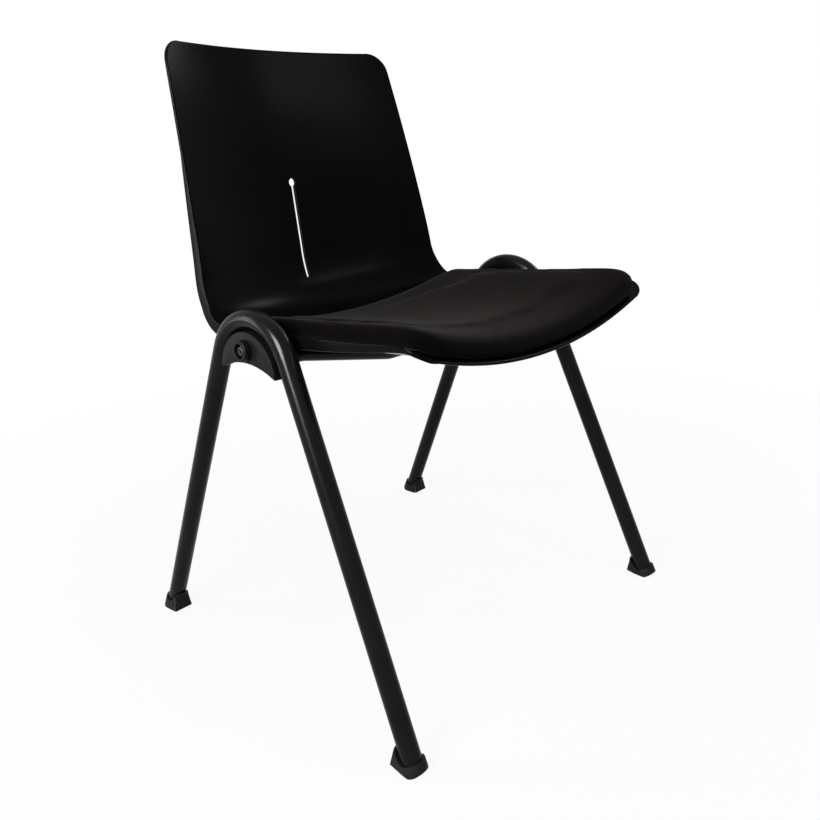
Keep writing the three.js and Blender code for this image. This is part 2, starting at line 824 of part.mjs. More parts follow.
function skinFrame([x, middleY]) {
  const reach = shellThickness;
  const origin = overSeat(x, middleY, 0);
  const across = overSeat(x + reach, middleY, 0).sub(overSeat(x - reach, middleY, 0)).normalize();
  const along = overSeat(x, middleY + reach, 0).sub(overSeat(x, middleY - reach, 0)).normalize();
  const up = across.clone().cross(along).normalize();
  const side = along.clone().cross(up);
  return new THREE.Matrix4().makeBasis(side, along, up).setPosition(origin);
}

function atScrew(geometry, place) {
  return alongZ(geometry).applyMatrix4(skinFrame(place));
}

function cutAtScrews(body, radius, from, to) {
  return Object.values(screwPlaces).reduce((left, place) => left.subtract(
    solid(atScrew(rod(radius, from, to, smallSides), place)),
  ), body);
}

function seatBackShell() {
  const body = solid(shellBody());
  const behind = seatRearReach + backHollow;
  const slotBox = new THREE.BoxGeometry(slotWidth, backHollow * 2, slotLength)
    .translate(0, behind + backRake / 2, slotFoot + slotLength / 2);
  const eye = rod(slotEyeRadius, behind + backRake / 2 - backHollow,
    behind + backRake / 2 + backHollow, smallSides).translate(0, 0, slotFoot + slotLength);
  const slotted = body.subtract(solid(slotBox)).subtract(solid(eye));
  return geometryOf(cutAtScrews(slotted, screwHole, -holeOverrun, holeOverrun));
}

// Seat pad outline: a rounded oblong in (X, middle's Y), drawn in by an inset
function padOutline(inset) {
  const half = seatHalf - padMarginSide - inset;
  const front = -(seatReach - padMarginFront - inset);
  const rear = padRear - inset;
  const most = Math.min(half, (rear - front) / 2);
  const frontRound = Math.min(Math.max(padFrontCorner - inset / 3, 0), most);
  const rearRound = Math.min(Math.max(padRearCorner - inset / 3, 0), most);
  const shape = new THREE.Shape();
  shape.moveTo(0, front);
  shape.absarc(half - frontRound, front + frontRound, frontRound, -Math.PI / 2, 0, false);
  shape.absarc(half - rearRound, rear - rearRound, rearRound, 0, Math.PI / 2, false);
  shape.absarc(-half + rearRound, rear - rearRound, rearRound, Math.PI / 2, Math.PI, false);
  shape.absarc(-half + frontRound, front + frontRound, frontRound, Math.PI, 1.5 * Math.PI, false);
  shape.closePath();
  return shape.getSpacedPoints(padSteps).slice(0, padSteps);
}

const padMiddleY = (padRear + padMarginFront - seatReach) / 2;

// A closed body from rings around the pad's outline: [inset, height] from foot to crown
function padBody(rings, heightAt) {
  const place = [];
  const order = [];
  const add = (point) => place.push(point.x, point.y, point.z);
  rings.forEach(([inset, height]) => {
    padOutline(inset).forEach(({ x, y }) => add(overSeat(x, y, heightAt(height, y))));
  });
  for (let k = 0; k < rings.length - 1; k += 1) {
    // Quads split the same way above and below, so that stacked layers stay parallel
    const inwards = rings[k + 1][0] > rings[k][0];
    for (let i = 0; i < padSteps; i += 1) {
      const a = k * padSteps + i;
      const b = k * padSteps + ((i + 1) % padSteps);
      if (inwards) {
        order.push(a, b, a + padSteps, b, b + padSteps, a + padSteps);
      } else {
        order.push(a, b, b + padSteps, a, b + padSteps, a + padSteps);
      }
    }
  }
  const foot = rings.length * padSteps;
  const crown = foot + 1;
  add(overSeat(0, padMiddleY, heightAt(rings[0][1], padMiddleY)));
  add(overSeat(0, padMiddleY, heightAt(rings.at(-1)[1], padMiddleY)));
  for (let i = 0; i < padSteps; i += 1) {
    const next = (i + 1) % padSteps;
    const top = (rings.length - 1) * padSteps;
    order.push(foot, next, i, crown, top + i, top + next);
  }
  const geometry = new THREE.BufferGeometry();
  geometry.setAttribute('position', new THREE.Float32BufferAttribute(place, 3));
  geometry.setIndex(order);
  return geometry;
}

// Insets that let the pad's inner rings follow the dish
const innerShares = [0.84, 0.62, 0.4, 0.2];

function innerRings(edgeInset, height) {
  const most = (seatReach - padMarginFront + padRear) / 2;
  return innerShares.map((share) => [edgeInset + (most - edgeInset) * share, height]);
}

const boardFoot = padGap;
const boardTop = boardFoot + boardThickness;

function cushionBoard() {
  const plate = padBody([
    ...innerRings(boardMargin, boardFoot),
    [boardMargin, boardFoot],
    [boardMargin, boardTop],
    ...innerRings(boardMargin, boardTop).reverse(),
  ], (height) => height);
  const drilled = cutAtScrews(solid(plate), nutBarrelRadius + clearance, -holeOverrun, holeOverrun);
  const flangeSeat = boardTop - nutFlangeThickness - clearance;
  return geometryOf(cutAtScrews(drilled, nutFlangeRadius + clearance, flangeSeat, holeOverrun));
}

// Nose and crown of the cushion: inset share of the shoulder, height share of the pad
const crownShares = [
  [0.03, 0.17], [0.0, 0.34], [0.01, 0.52], [0.07, 0.69], [0.19, 0.82], [0.42, 0.92],
  [1.0, 0.98],
];

function seatCushion() {
  const pocket = boardMargin - padGap;
  const pocketTop = boardTop + padGap;
  const taper = (height, y) => {
    const along = (y + seatReach) / (seatReach + padRear);
    const near = Math.min(Math.max((y - padRear + padRoundRun) / padRoundRun, 0), 1);
    const front = Math.max((padDropRun - seatReach - y) / padDropRun, 0);
    const drop = (padHeight - padRearHeight) * along + padRearRound * near * near
      + padFrontDrop * front;
    const above = Math.max(0, height - pocketTop) / (padHeight - pocketTop);
    return height - above * drop;
  };
  const rings = [
    ...innerRings(boardMargin, pocketTop),
    [pocket, pocketTop],
    [pocket, padGap],
    [padDrawnIn, padGap],
    ...crownShares.map(([inset, height]) => [inset * padShoulder, height * padHeight]),
    ...innerRings(padShoulder, padHeight).reverse(),
  ];
  return padBody(rings, taper);
}

function boardNut() {
  const top = boardTop;
  return turned([
    [screwHole, boardFoot],
    [nutBarrelRadius, boardFoot],
    [nutBarrelRadius, top - nutFlangeThickness],
    [nutFlangeRadius, top - nutFlangeThickness],
    [nutFlangeRadius, top],
    [screwHole, top],
    [screwHole, boardFoot],
  ], smallSides);
}

const armTop = -shellThickness - clearance;

function seatScrew() {
  const headTop = armTop - armThickness - clearance * 2;
  return screw(-boardTop + clearance, -headTop, screwRadius, screwHeadRadius,
    screwHeadHeight, screwSocketRadius, screwSocketDepth).rotateX(Math.PI);
}

// Under-seat frame
const crossY = { front: -loopForward - crossSpacing / 2, rear: -loopForward + crossSpacing / 2 };

// Height of the tube's ends: just under the lower edge of the shell's side rim
function crossHigh(y) {
  const [, edgeZ, , , , flange] = stationAt(stationOfMiddle(y));
  return edgeZ - rimThickness - flange * flangeDepth - crossRimGap - crossRadius;
}

// How far up its sloping run a tube is, as a share, at a distance from the mid-plane
function crossShare(x) {
  return Math.max(0, (x - crossBendIn) / (crossBendOut - crossBendIn));
}

// Height of the tube's middle: as high as the dish lets its sloping runs go
function crossLow(y) {
  const high = crossHigh(y);
  let low = high;
  for (let k = 0; k < restSamples; k += 1) {
    const x = (crossBendOut * k) / restSamples;
    const up = crossShare(x);
    const room = overSeat(x, y, -shellThickness).z - crossRestGap - crossRadius;
    low = Math.min(low, (room - high * up) / (1 - up));
  }
  return low;
}

function crossPath(y) {
  const high = crossHigh(y);
  const low = crossLow(y);
  const planeX = floorWidth / 2 - high * Math.tan(lean) + lugInner / Math.cos(lean);
  const end = planeX - clearance - crossRadius * Math.tan(lean);
  return filletedPath([
    new THREE.Vector3(-end, y, high),
    new THREE.Vector3(-crossBendOut, y, high),
    new THREE.Vector3(-crossBendIn, y, low),
    new THREE.Vector3(crossBendIn, y, low),
    new THREE.Vector3(crossBendOut, y, high),
    new THREE.Vector3(end, y, high),
  ], crossBendRadius, crossBendSteps);
}

function crossTube(y) {
  return tube(crossPath(y), crossRadius, crossWall, crossSides);
}

// A flat bar under the shell, from the tube's flank to its tip, with a heel at the tube
function supportArm(tubeY, tipY) {
  const way = Math.sign(tipY - tubeY);
  const start = tubeY + way * crossRadius * armWeldShare;
  const low = crossLow(tubeY);
  const high = crossHigh(tubeY);
  const rings = [];
  for (let k = 0; k <= armSteps; k += 1) {
    const y = start + ((tipY - start) * k) / armSteps;
    const across = [-1, 0, 1].map((side) => armOut + (side * armWidth) / 2);
    const over = across.map((x) => overSeat(x, y, armTop));
    const under = across.map((x) => (k > 0
      ? overSeat(x, y, armTop - armThickness)
      : new THREE.Vector3(x, y, low + (high - low) * crossShare(x))));
    rings.push([...over, ...under.reverse()]);
  }
  const cutter = solid(tube(crossPath(tubeY), crossRadius + clearance, 0, crossSides));
  return geometryOf(cutAtScrews(solid(loft(rings)).subtract(cutter), screwHole, -holeOverrun, 0));
}

// Assembly
const chair = new THREE.Group();

const sidePieces = [
  ['side_frame', sideFrame(), paint],
  ['side_plate', sidePlate(), plastic],
  ['side_boss', sideBoss(), plastic],
  ['bolt_washer', boltWasher(), zinc],
  ['frame_bolt', frameBolt(), blackSteel],
  ['frame_lug', frameLug(), paint],
  ['lug_nut', lugNut(), zinc],
];

const left = new THREE.Group();
left.position.set(floorWidth / 2, 0, 0);
left.rotation.y = -lean;
const right = new THREE.Group();
right.position.set(-floorWidth / 2, 0, 0);
right.rotation.y = lean;
for (const [name, geometry, material] of sidePieces) {
  left.add(piece(`${name}_left`, geometry, material()));
  right.add(piece(`${name}_right`, mirrored(geometry), material()));
}
chair.add(left, right);

const footPlaces = [['front', frontLeg, frontMouth], ['rear', rearLeg, rearMouth]];
for (const [place, someLeg, mouthHeight] of footPlaces) {
  const cup = foot(someLeg, mouthHeight);
  chair.add(piece(`foot_${place}_left`, cup, rubberish()));
  chair.add(piece(`foot_${place}_right`, mirrored(cup), rubberish()));
}

const armTips = { front: -armFrontTip, rear: armRearTip };
for (const place of ['front', 'rear']) {
  chair.add(piece(`cross_tube_${place}`, crossTube(crossY[place]), paint()));
  const arm = supportArm(crossY[place], armTips[place]);
  chair.add(piece(`support_arm_${place}_left`, arm, paint()));
  chair.add(piece(`support_arm_${place}_right`, mirrored(arm), paint()));
}

chair.add(piece('seat_back_shell', seatBackShell(), shellPlastic()));
chair.add(piece('cushion_board', cushionBoard(), plywood()));
for (const [corner, place] of Object.entries(screwPlaces)) {
  chair.add(piece(`board_nut_${corner}`, atScrew(boardNut(), place), zinc()));
  chair.add(piece(`seat_screw_${corner}`, atScrew(seatScrew(), place), blackSteel()));
}
chair.add(piece('seat_cushion', seatCushion(), fabric()));

export default chair;
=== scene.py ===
# %% [markdown]
# A stacking chair for a choir, in Blender
#
# The chair has two A-shaped side frames of bent tube, a one-piece moulded shell for seat and back, and an
# upholstered pad. Its solids were packed beforehand. This lesson loads them as a fixed frame, then builds
# the surfaces that a photograph would show. Everything is in metres, +Z is up, and the sitter faces -Y.

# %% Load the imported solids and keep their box
import json
import math

import bmesh
import bpy
import numpy as np
from mathutils import Matrix, Vector


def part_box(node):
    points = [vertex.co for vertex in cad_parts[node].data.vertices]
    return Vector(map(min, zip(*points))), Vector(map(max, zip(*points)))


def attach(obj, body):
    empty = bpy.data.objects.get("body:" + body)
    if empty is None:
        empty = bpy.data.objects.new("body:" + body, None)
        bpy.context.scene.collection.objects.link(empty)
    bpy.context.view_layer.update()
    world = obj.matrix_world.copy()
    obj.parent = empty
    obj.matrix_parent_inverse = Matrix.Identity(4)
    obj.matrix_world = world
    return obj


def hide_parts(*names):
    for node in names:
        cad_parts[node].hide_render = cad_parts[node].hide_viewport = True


MM = 0.001
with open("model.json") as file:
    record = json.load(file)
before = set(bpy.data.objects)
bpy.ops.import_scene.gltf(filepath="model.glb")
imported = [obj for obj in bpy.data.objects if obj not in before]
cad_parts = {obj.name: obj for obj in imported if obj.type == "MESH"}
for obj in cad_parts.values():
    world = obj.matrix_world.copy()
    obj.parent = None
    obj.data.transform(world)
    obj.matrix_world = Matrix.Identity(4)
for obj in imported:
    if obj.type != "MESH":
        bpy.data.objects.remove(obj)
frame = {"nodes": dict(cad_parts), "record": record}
scene = bpy.context.scene
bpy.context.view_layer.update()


def linked(name, data):
    """A new object that belongs to the scene."""
    obj = bpy.data.objects.new(name, data)
    scene.collection.objects.link(obj)
    return obj


# %% [markdown]
# The camera
#
# A photograph fixes where its camera stood. The four feet, the two bent loops and the edges of the legs
# gave its place, its turn and its focal length. The image is square, and the film is 36 mm wide. Yaw,
# pitch and roll become the three directions of a matrix, so that their order can't be mixed up.

# %% Place the camera
CAMERA_PLACE = Vector((-0.7540, -0.7512, 0.6729))
CAMERA_YAW, CAMERA_PITCH, CAMERA_ROLL = (math.radians(a) for a in (-45.58, -19.04, -2.68))
FOCAL_PIXELS, IMAGE_PIXELS, FILM_WIDTH = 759.24, 820, 36.0
CLIP_NEAR, CLIP_FAR = 0.05, 60.0


def make_camera():
    ahead = Vector((math.sin(-CAMERA_YAW) * math.cos(CAMERA_PITCH),
                    math.cos(CAMERA_YAW) * math.cos(CAMERA_PITCH), math.sin(CAMERA_PITCH)))
    level = ahead.cross(Vector((0, 0, 1))).normalized()
    above = level.cross(ahead)
    right = level * math.cos(CAMERA_ROLL) + above * math.sin(CAMERA_ROLL)
    up = above * math.cos(CAMERA_ROLL) - level * math.sin(CAMERA_ROLL)
    data = bpy.data.cameras.new("photo_camera")
    data.sensor_width = FILM_WIDTH
    data.lens = FOCAL_PIXELS / IMAGE_PIXELS * FILM_WIDTH
    data.clip_start, data.clip_end = CLIP_NEAR, CLIP_FAR
    camera = linked("photo_camera", data)
    turn = Matrix((right, up, -ahead)).transposed()
    camera.matrix_world = Matrix.Translation(CAMERA_PLACE) @ turn.to_4x4()
    return camera


scene.camera = make_camera()
print("camera lens in mm:", round(scene.camera.data.lens, 2))

# %% [markdown]
# Joining shader nodes
#
# The floor, the background and every finish are built from shader nodes. They could be joined by hand in
# the editor, but then they wouldn't come back when this file runs again. Small functions add the nodes
# and their links instead.

# %% Write the node helpers
def feed(tree, socket, value):
    """Gives a socket a plain number, or a link from another node's output."""
    if isinstance(value, (int, float)):
        socket.default_value = value
    else:
        tree.links.new(value, socket)


def math_node(tree, operation, *values):
    node = tree.nodes.new("ShaderNodeMath")
    node.operation = operation
    for socket, value in zip(node.inputs, values):
        feed(tree, socket, value)
    return node.outputs[0]


def scaled(tree, value, low, high, start=0.0, end=1.0):
    """A value that runs from start to end, brought to run from low to high."""
    remap = tree.nodes.new("ShaderNodeMapRange")
    limits = {"Value": value, "From Min": start, "From Max": end, "To Min": low, "To Max": high}
    for label, limit in limits.items():
        feed(tree, remap.inputs[label], limit)
    return remap.outputs["Result"]


def coordinate(tree, kind):
    return tree.nodes.new("ShaderNodeTexCoord").outputs[kind]


def parts_of(tree, vector):
    """The X, Y and Z of a vector, by name."""
    node = tree.nodes.new("ShaderNodeSeparateXYZ")
    tree.links.new(vector, node.inputs[0])
    return node.outputs


def seen_directly(tree):
    """1 for camera, glossy and transmission rays, and 0 for the light that falls on things."""
    rays = tree.nodes.new("ShaderNodeLightPath").outputs
    nearest = math_node(tree, "MAXIMUM", rays["Is Camera Ray"], rays["Is Glossy Ray"])
    return math_node(tree, "MAXIMUM", nearest, rays["Is Transmission Ray"])


print("node helpers are ready")

# %% [markdown]
# Floor and background
#
# The chair stands on a plain pale floor in front of white. The white comes from the floor and the world
# where the camera or a reflection looks at them, and not from more light on the chair. Near the chair the
# floor is a little less white, so that it keeps a hint of the chair's shadow, and further out it fades
# into the background.

# %% Build the floor and the world
FLOOR_HALF = 9.0
FLOOR_COLOUR = (0.86, 0.86, 0.86, 1)
WHITE = (1, 1, 1, 1)
# Share of white in the floor under the chair, and between which distances it fades to the background
FLOOR_WHITE_SHARE, FADE_START, FADE_END = 0.93, 0.45, 1.5
# Strength of the world's light on things, where its white has a strength of 1
WORLD_LIGHT = 0.12


def whiteness(tree):
    """How white the floor is for the eye: nearly white at the chair, all white further out."""
    length = tree.nodes.new("ShaderNodeVectorMath")
    length.operation = "LENGTH"
    tree.links.new(coordinate(tree, "Object"), length.inputs[0])
    share = scaled(tree, length.outputs["Value"], FLOOR_WHITE_SHARE, 1.0, FADE_START, FADE_END)
    return math_node(tree, "MULTIPLY", share, seen_directly(tree))


def make_floor():
    mesh = bpy.data.meshes.new("floor")
    corners = [(x * FLOOR_HALF, y * FLOOR_HALF, 0) for x, y in ((-1, -1), (1, -1), (1, 1), (-1, 1))]
    mesh.from_pydata(corners, [], [(0, 1, 2, 3)])
    floor = linked("floor", mesh)
    material = bpy.data.materials.new("pale_floor")
    material.use_nodes = True
    tree = material.node_tree
    tree.nodes.clear()
    paint = tree.nodes.new("ShaderNodeBsdfDiffuse")
    paint.inputs["Color"].default_value = FLOOR_COLOUR
    white = tree.nodes.new("ShaderNodeEmission")
    mix = tree.nodes.new("ShaderNodeMixShader")
    out = tree.nodes.new("ShaderNodeOutputMaterial")
    tree.links.new(whiteness(tree), mix.inputs["Fac"])
    tree.links.new(paint.outputs[0], mix.inputs[1])
    tree.links.new(white.outputs[0], mix.inputs[2])
    tree.links.new(mix.outputs[0], out.inputs["Surface"])
    mesh.materials.append(material)


def make_world():
    world = bpy.data.worlds.new("studio")
    world.use_nodes = True
    tree = world.node_tree
    background = tree.nodes["Background"]
    background.inputs["Color"].default_value = WHITE
    tree.links.new(scaled(tree, seen_directly(tree), WORLD_LIGHT, 1.0), background.inputs["Strength"])
    scene.world = world


make_floor()
make_world()
scene.view_settings.view_transform = "Standard"
print("floor and world are in place")

# %% [markdown]
# The lamps
#
# Black paint and plastic are seen by what they mirror. In a studio, soft lamps give the light, and more
# soft boxes are moved about until the gloss looks right. Here the two jobs are split: two lamps only
# light things, three only show in the gloss, and the one behind the chair does both. So the light and the
# gloss can be set one without the other.

# %% Hang the soft lamps
# Place, size across and up, power in watts, whether the lamp lights things, whether it shows in their gloss
LAMPS = {
    "key_side": ((-2.3, -0.25, 1.5), (0.8, 1.6), 50, True, False),
    "top_soft": ((0.4, -0.9, 2.7), (1.6, 1.6), 26, True, False),
    "rear_side": ((-1.7, 1.9, 0.8), (0.5, 1.2), 20, True, True),
    "gloss_side": ((-2.3, -0.3, 1.62), (1.0, 1.5), 400, False, True),
    "gloss_front": ((1.2, -2.1, 1.8), (1.6, 0.35), 13, False, True),
    "gloss_far": ((2.1, -0.1, 1.78), (0.5, 0.45), 7, False, True),
}
LAMP_AIM = Vector((0.0, 0.0, 0.5))


def hang_lamp(name, place, size, power, lights, gleams):
    data = bpy.data.lights.new(name, "AREA")
    data.shape = "RECTANGLE"
    data.size, data.size_y = size
    data.energy = power
    lamp = linked(name, data)
    lamp.location = place
    lamp.rotation_mode = "QUATERNION"
    lamp.rotation_quaternion = (LAMP_AIM - Vector(place)).to_track_quat("-Z", "Y")
    lamp.visible_diffuse, lamp.visible_glossy = lights, gleams


for lamp_name, values in LAMPS.items():
    hang_lamp(lamp_name, *values)
print("lamps:", ", ".join(LAMPS))

# %% [markdown]
# Shared effects as node groups
#
# Moulded plastic has a fine grain from its mould, powder coat has a soft orange-peel texture, and cloth
# has a weave with slubs. Images could carry such patterns, but they would blur close up. Here one node
# group makes every grain and another makes the weave. Both put out a height and masks, and the shader
# itself stays in the material. The patterns are laid in object space, in metres, so they stay put in
# every view.

# %% Make the texture groups
# How much finer the specks are than the patches, and the power that makes them rare
SPECK_SCALE, SPECK_POWER = 40, 5.0
SLUBS_PER_METRE, SLUB_HEIGHT, MOTTLES_PER_METRE = 420, 1.4, 14


def new_group(name, inputs, outputs):
    """An empty node group with float inputs (name: value) and float outputs."""
    tree = bpy.data.node_groups.new(name, "ShaderNodeTree")
    for label, value in inputs.items():
        socket = tree.interface.new_socket(label, in_out="INPUT", socket_type="NodeSocketFloat")
        socket.default_value = value
    for label in outputs:
        tree.interface.new_socket(label, in_out="OUTPUT", socket_type="NodeSocketFloat")
    return tree, tree.nodes.new("NodeGroupInput"), tree.nodes.new("NodeGroupOutput")


def noise_node(tree, scale, detail):
    node = tree.nodes.new("ShaderNodeTexNoise")
    node.inputs["Detail"].default_value = detail
    feed(tree, node.inputs["Scale"], scale)
    tree.links.new(coordinate(tree, "Object"), node.inputs["Vector"])
    return node.outputs["Fac"]


def make_grain_group():
    """Fine grain of a moulded or coated surface, with slow patches of wear and dust."""
    tree, given, made = new_group(
        "surface_grain", {"Grain per metre": 900, "Patches per metre": 9}, ("Height", "Patches", "Specks"))
    fine = noise_node(tree, given.outputs["Grain per metre"], detail=2)
    patches = noise_node(tree, given.outputs["Patches per metre"], detail=4)
    speck_scale = math_node(tree, "MULTIPLY", given.outputs["Patches per metre"], SPECK_SCALE)
    specks = noise_node(tree, speck_scale, detail=2)
    tree.links.new(fine, made.inputs["Height"])
    tree.links.new(patches, made.inputs["Patches"])
    tree.links.new(math_node(tree, "POWER", specks, SPECK_POWER), made.inputs["Specks"])
    return tree


def make_weave_group():
    """Plain weave: warp and weft threads that rise in turn, with slubs that thicken some of them."""
    tree, given, made = new_group("plain_weave", {"Threads per metre": 900}, ("Height", "Slubs", "Mottle"))
    place = parts_of(tree, coordinate(tree, "Object"))
    turns = math_node(tree, "MULTIPLY", given.outputs["Threads per metre"], math.pi)
    depth = math_node(tree, "ADD", place["Y"], place["Z"])
    warp = math_node(tree, "SINE", math_node(tree, "MULTIPLY", place["X"], turns))
    weft = math_node(tree, "SINE", math_node(tree, "MULTIPLY", depth, turns))
    crossed = math_node(tree, "MULTIPLY", warp, weft)
    slubs = noise_node(tree, SLUBS_PER_METRE, detail=2)
    height = math_node(tree, "ADD", crossed, math_node(tree, "MULTIPLY", slubs, SLUB_HEIGHT))
    tree.links.new(height, made.inputs["Height"])
    tree.links.new(slubs, made.inputs["Slubs"])
    tree.links.new(noise_node(tree, MOTTLES_PER_METRE, detail=5), made.inputs["Mottle"])
    return tree


grain_group = make_grain_group()
weave_group = make_weave_group()
print("texture groups:", grain_group.name, weave_group.name)

# %% [markdown]
# Painted light and shade: masks from direction and depth
#
# The shell's side rim is painted a little lighter than its skins: painted light, for the light that falls
# on its sideways faces. The grooves round the side plates' faces are painted nearly black: painted shade,
# for the deep shadow in them. Such places could be marked face by face, but that is lost when a measure
# changes. Two masks find them instead: one from how far a face looks to the side, and one from how far out
# a point lies in its side frame. Both are measured on the object itself, so they don't change with the view.

# %% Make the masks that paint light and shade
# How far apart the feet stand sideways, in millimetres, and how far the side frames lean in
FLOOR_WIDTH, FRAME_LEAN = 549.5, math.radians(2.77)


def mask_group(name, none_at, full_at, measure):
    """A group whose mask is 0 at one value of a measure and 1 at another."""
    tree, given, made = new_group(name, {"None at": none_at, "Full at": full_at}, ("Mask",))
    mask = scaled(tree, measure(tree), 0.0, 1.0, given.outputs["None at"], given.outputs["Full at"])
    tree.links.new(mask, made.inputs["Mask"])
    return tree


def sideways(tree):
    """How far a face looks to the left or the right, from 0 to 1."""
    return math_node(tree, "ABSOLUTE", parts_of(tree, coordinate(tree, "Normal"))["X"])


def outboard(tree):
    """How far out a point lies from the middle of its side frame's tube, in metres."""
    place = parts_of(tree, coordinate(tree, "Object"))
    across = math_node(tree, "SUBTRACT", math_node(tree, "ABSOLUTE", place["X"]), FLOOR_WIDTH / 2 * MM)
    return math_node(tree, "ADD", math_node(tree, "MULTIPLY", across, math.cos(FRAME_LEAN)),
                     math_node(tree, "MULTIPLY", place["Z"], math.sin(FRAME_LEAN)))


# Painted light: faces that look to the side, such as the shell's rim, get a lighter colour for the light
# that falls on them
painted_rim_light_group = mask_group("painted_rim_light_mask", none_at=0.7, full_at=0.95, measure=sideways)
# Painted shade: deep in the side plates' grooves the colour turns nearly black, for the shadow there
painted_groove_shade_group = mask_group("painted_groove_shade_mask", none_at=0.009, full_at=0.003, measure=outboard)
print("mask groups:", painted_rim_light_group.name, painted_groove_shade_group.name)

# %% [markdown]
# How a finish is put together
#
# A colour ramp turns slow patches into two close shades, and the same patches with a few specks vary the
# roughness. The grain only bends the light, through a bump. Constants sit on the shader's own sockets,
# and only what varies over the surface is linked. The cloth has a faint sheen at a flat angle, as fibres
# do.

# %% Write the finishes
# Numbers of the Mix node's colour sockets
COLOUR_A, COLOUR_B, COLOUR_MIXED = 6, 7, 2
SPECK_ROUGHNESS = 2.0
CLOTH_SPECULAR, SHEEN_WEIGHT, SHEEN_ROUGHNESS, SHEEN_TINT = 0.01, 0.05, 0.45, (1.0, 0.94, 0.9, 1)
CLOTH_ROUGHNESS, WEAVE_BUMP, WEAVE_DEPTH = (0.78, 0.98), 0.35, 0.0002


def new_material(name, specular):
    material = bpy.data.materials.new(name)
    material.use_nodes = True
    shader = material.node_tree.nodes["Principled BSDF"]
    shader.inputs["Specular IOR Level"].default_value = specular
    return material, material.node_tree, shader


def ramp(tree, value, dark, light, low=0.3, high=0.7):
    node = tree.nodes.new("ShaderNodeValToRGB")
    node.color_ramp.elements[0].position, node.color_ramp.elements[1].position = low, high
    node.color_ramp.elements[0].color = (*dark, 1)
    node.color_ramp.elements[1].color = (*light, 1)
    tree.links.new(value, node.inputs["Fac"])
    return node.outputs["Color"]


def place_group(tree, group, **values):
    node = tree.nodes.new("ShaderNodeGroup")
    node.node_tree = group
    for label, value in values.items():
        node.inputs[label.replace("_", " ")].default_value = value
    return node.outputs


def bump(tree, shader, height, strength, distance):
    node = tree.nodes.new("ShaderNodeBump")
    node.inputs["Strength"].default_value = strength
    node.inputs["Distance"].default_value = distance
    tree.links.new(height, node.inputs["Height"])
    tree.links.new(node.outputs["Normal"], shader.inputs["Normal"])


def with_mask(tree, colour, group, other):
    """The colour, changed to another one where a group's mask is 1."""
    mix = tree.nodes.new("ShaderNodeMix")
    mix.data_type = "RGBA"
    tree.links.new(place_group(tree, group)["Mask"], mix.inputs["Factor"])
    tree.links.new(colour, mix.inputs[COLOUR_A])
    mix.inputs[COLOUR_B].default_value = (*other, 1)
    return mix.outputs[COLOUR_MIXED]


def finish(name, dark, light, roughness, specular=0.5, metallic=0.0, grain=900, patches=9,
           bump_strength=0.15, bump_depth=0.0002, mask=None, other=None):
    """A grained finish: colour between dark and light, roughness between two values."""
    material, tree, shader = new_material(name, specular)
    shader.inputs["Metallic"].default_value = metallic
    surface = place_group(tree, grain_group, Grain_per_metre=grain, Patches_per_metre=patches)
    colour = ramp(tree, surface["Patches"], dark, light)
    tree.links.new(with_mask(tree, colour, mask, other) if mask else colour, shader.inputs["Base Color"])
    mixed = math_node(tree, "ADD", surface["Patches"],
                      math_node(tree, "MULTIPLY", surface["Specks"], SPECK_ROUGHNESS))
    tree.links.new(scaled(tree, mixed, *roughness), shader.inputs["Roughness"])
    bump(tree, shader, surface["Height"], bump_strength, bump_depth)
    return material


def cloth_finish(name, dark, light, threads):
    material, tree, shader = new_material(name, CLOTH_SPECULAR)
    shader.inputs["Sheen Weight"].default_value = SHEEN_WEIGHT
    shader.inputs["Sheen Roughness"].default_value = SHEEN_ROUGHNESS
    shader.inputs["Sheen Tint"].default_value = SHEEN_TINT
    weave = place_group(tree, weave_group, Threads_per_metre=threads)
    tree.links.new(ramp(tree, weave["Mottle"], dark, light), shader.inputs["Base Color"])
    tree.links.new(scaled(tree, weave["Slubs"], *CLOTH_ROUGHNESS), shader.inputs["Roughness"])
    bump(tree, shader, weave["Height"], WEAVE_BUMP, WEAVE_DEPTH)
    return material


print("finishes can be made")

# %% [markdown]
# The finishes
#
# Nearly every part of this chair is black, so the finishes differ by their gloss and their grain. The
# frames have satin powder coat, the shell is polished, the plates and feet are dull moulded plastic, and
# the pad has a brownish black cloth. The hardware is zinc-plated or blackened, and the board is raw
# plywood. One function makes them all except the cloth, so that each finish is one short call.

# %% Make the materials
# How much blue there is in a black against its red and green
COOLNESS = 1.03


def grey(value):
    return (value, value, value * COOLNESS)


MATERIALS = {
    "frame_paint": finish("frame_paint", grey(0.005), grey(0.009), (0.18, 0.26), specular=0.07, grain=1500,
                          bump_depth=0.0001),
    # Painted shade: the plates' grooves are painted nearly black by the groove mask
    "side_plastic": finish("side_plastic", grey(0.006), grey(0.009), (0.42, 0.56), specular=0.05, grain=1100,
                           mask=painted_groove_shade_group, other=grey(0.0005)),
    # Painted light: the shell's sideways faces get a lighter grey from its mask, for the light from the side
    "shell_plastic": finish("shell_plastic", grey(0.0014), grey(0.0026), (0.2, 0.27), specular=0.02,
                            grain=1300, bump_depth=0.0001, mask=painted_rim_light_group, other=grey(0.005)),
    "foot_plastic": finish("foot_plastic", grey(0.008), grey(0.013), (0.45, 0.65), specular=0.06, grain=700,
                           patches=40),
    "zinc_steel": finish("zinc_steel", grey(0.3), grey(0.42), (0.35, 0.5), metallic=1.0, patches=60),
    "black_steel": finish("black_steel", grey(0.012), grey(0.022), (0.3, 0.45), specular=0.2, metallic=0.3,
                          patches=80),
    "board_plywood": finish("board_plywood", (0.36, 0.24, 0.13), (0.5, 0.36, 0.22), (0.6, 0.8), patches=30),
    "seat_fabric": cloth_finish("seat_fabric", (0.0010, 0.0008, 0.0006), (0.0023, 0.0018, 0.0015), 900),
}
print("materials:", ", ".join(MATERIALS))

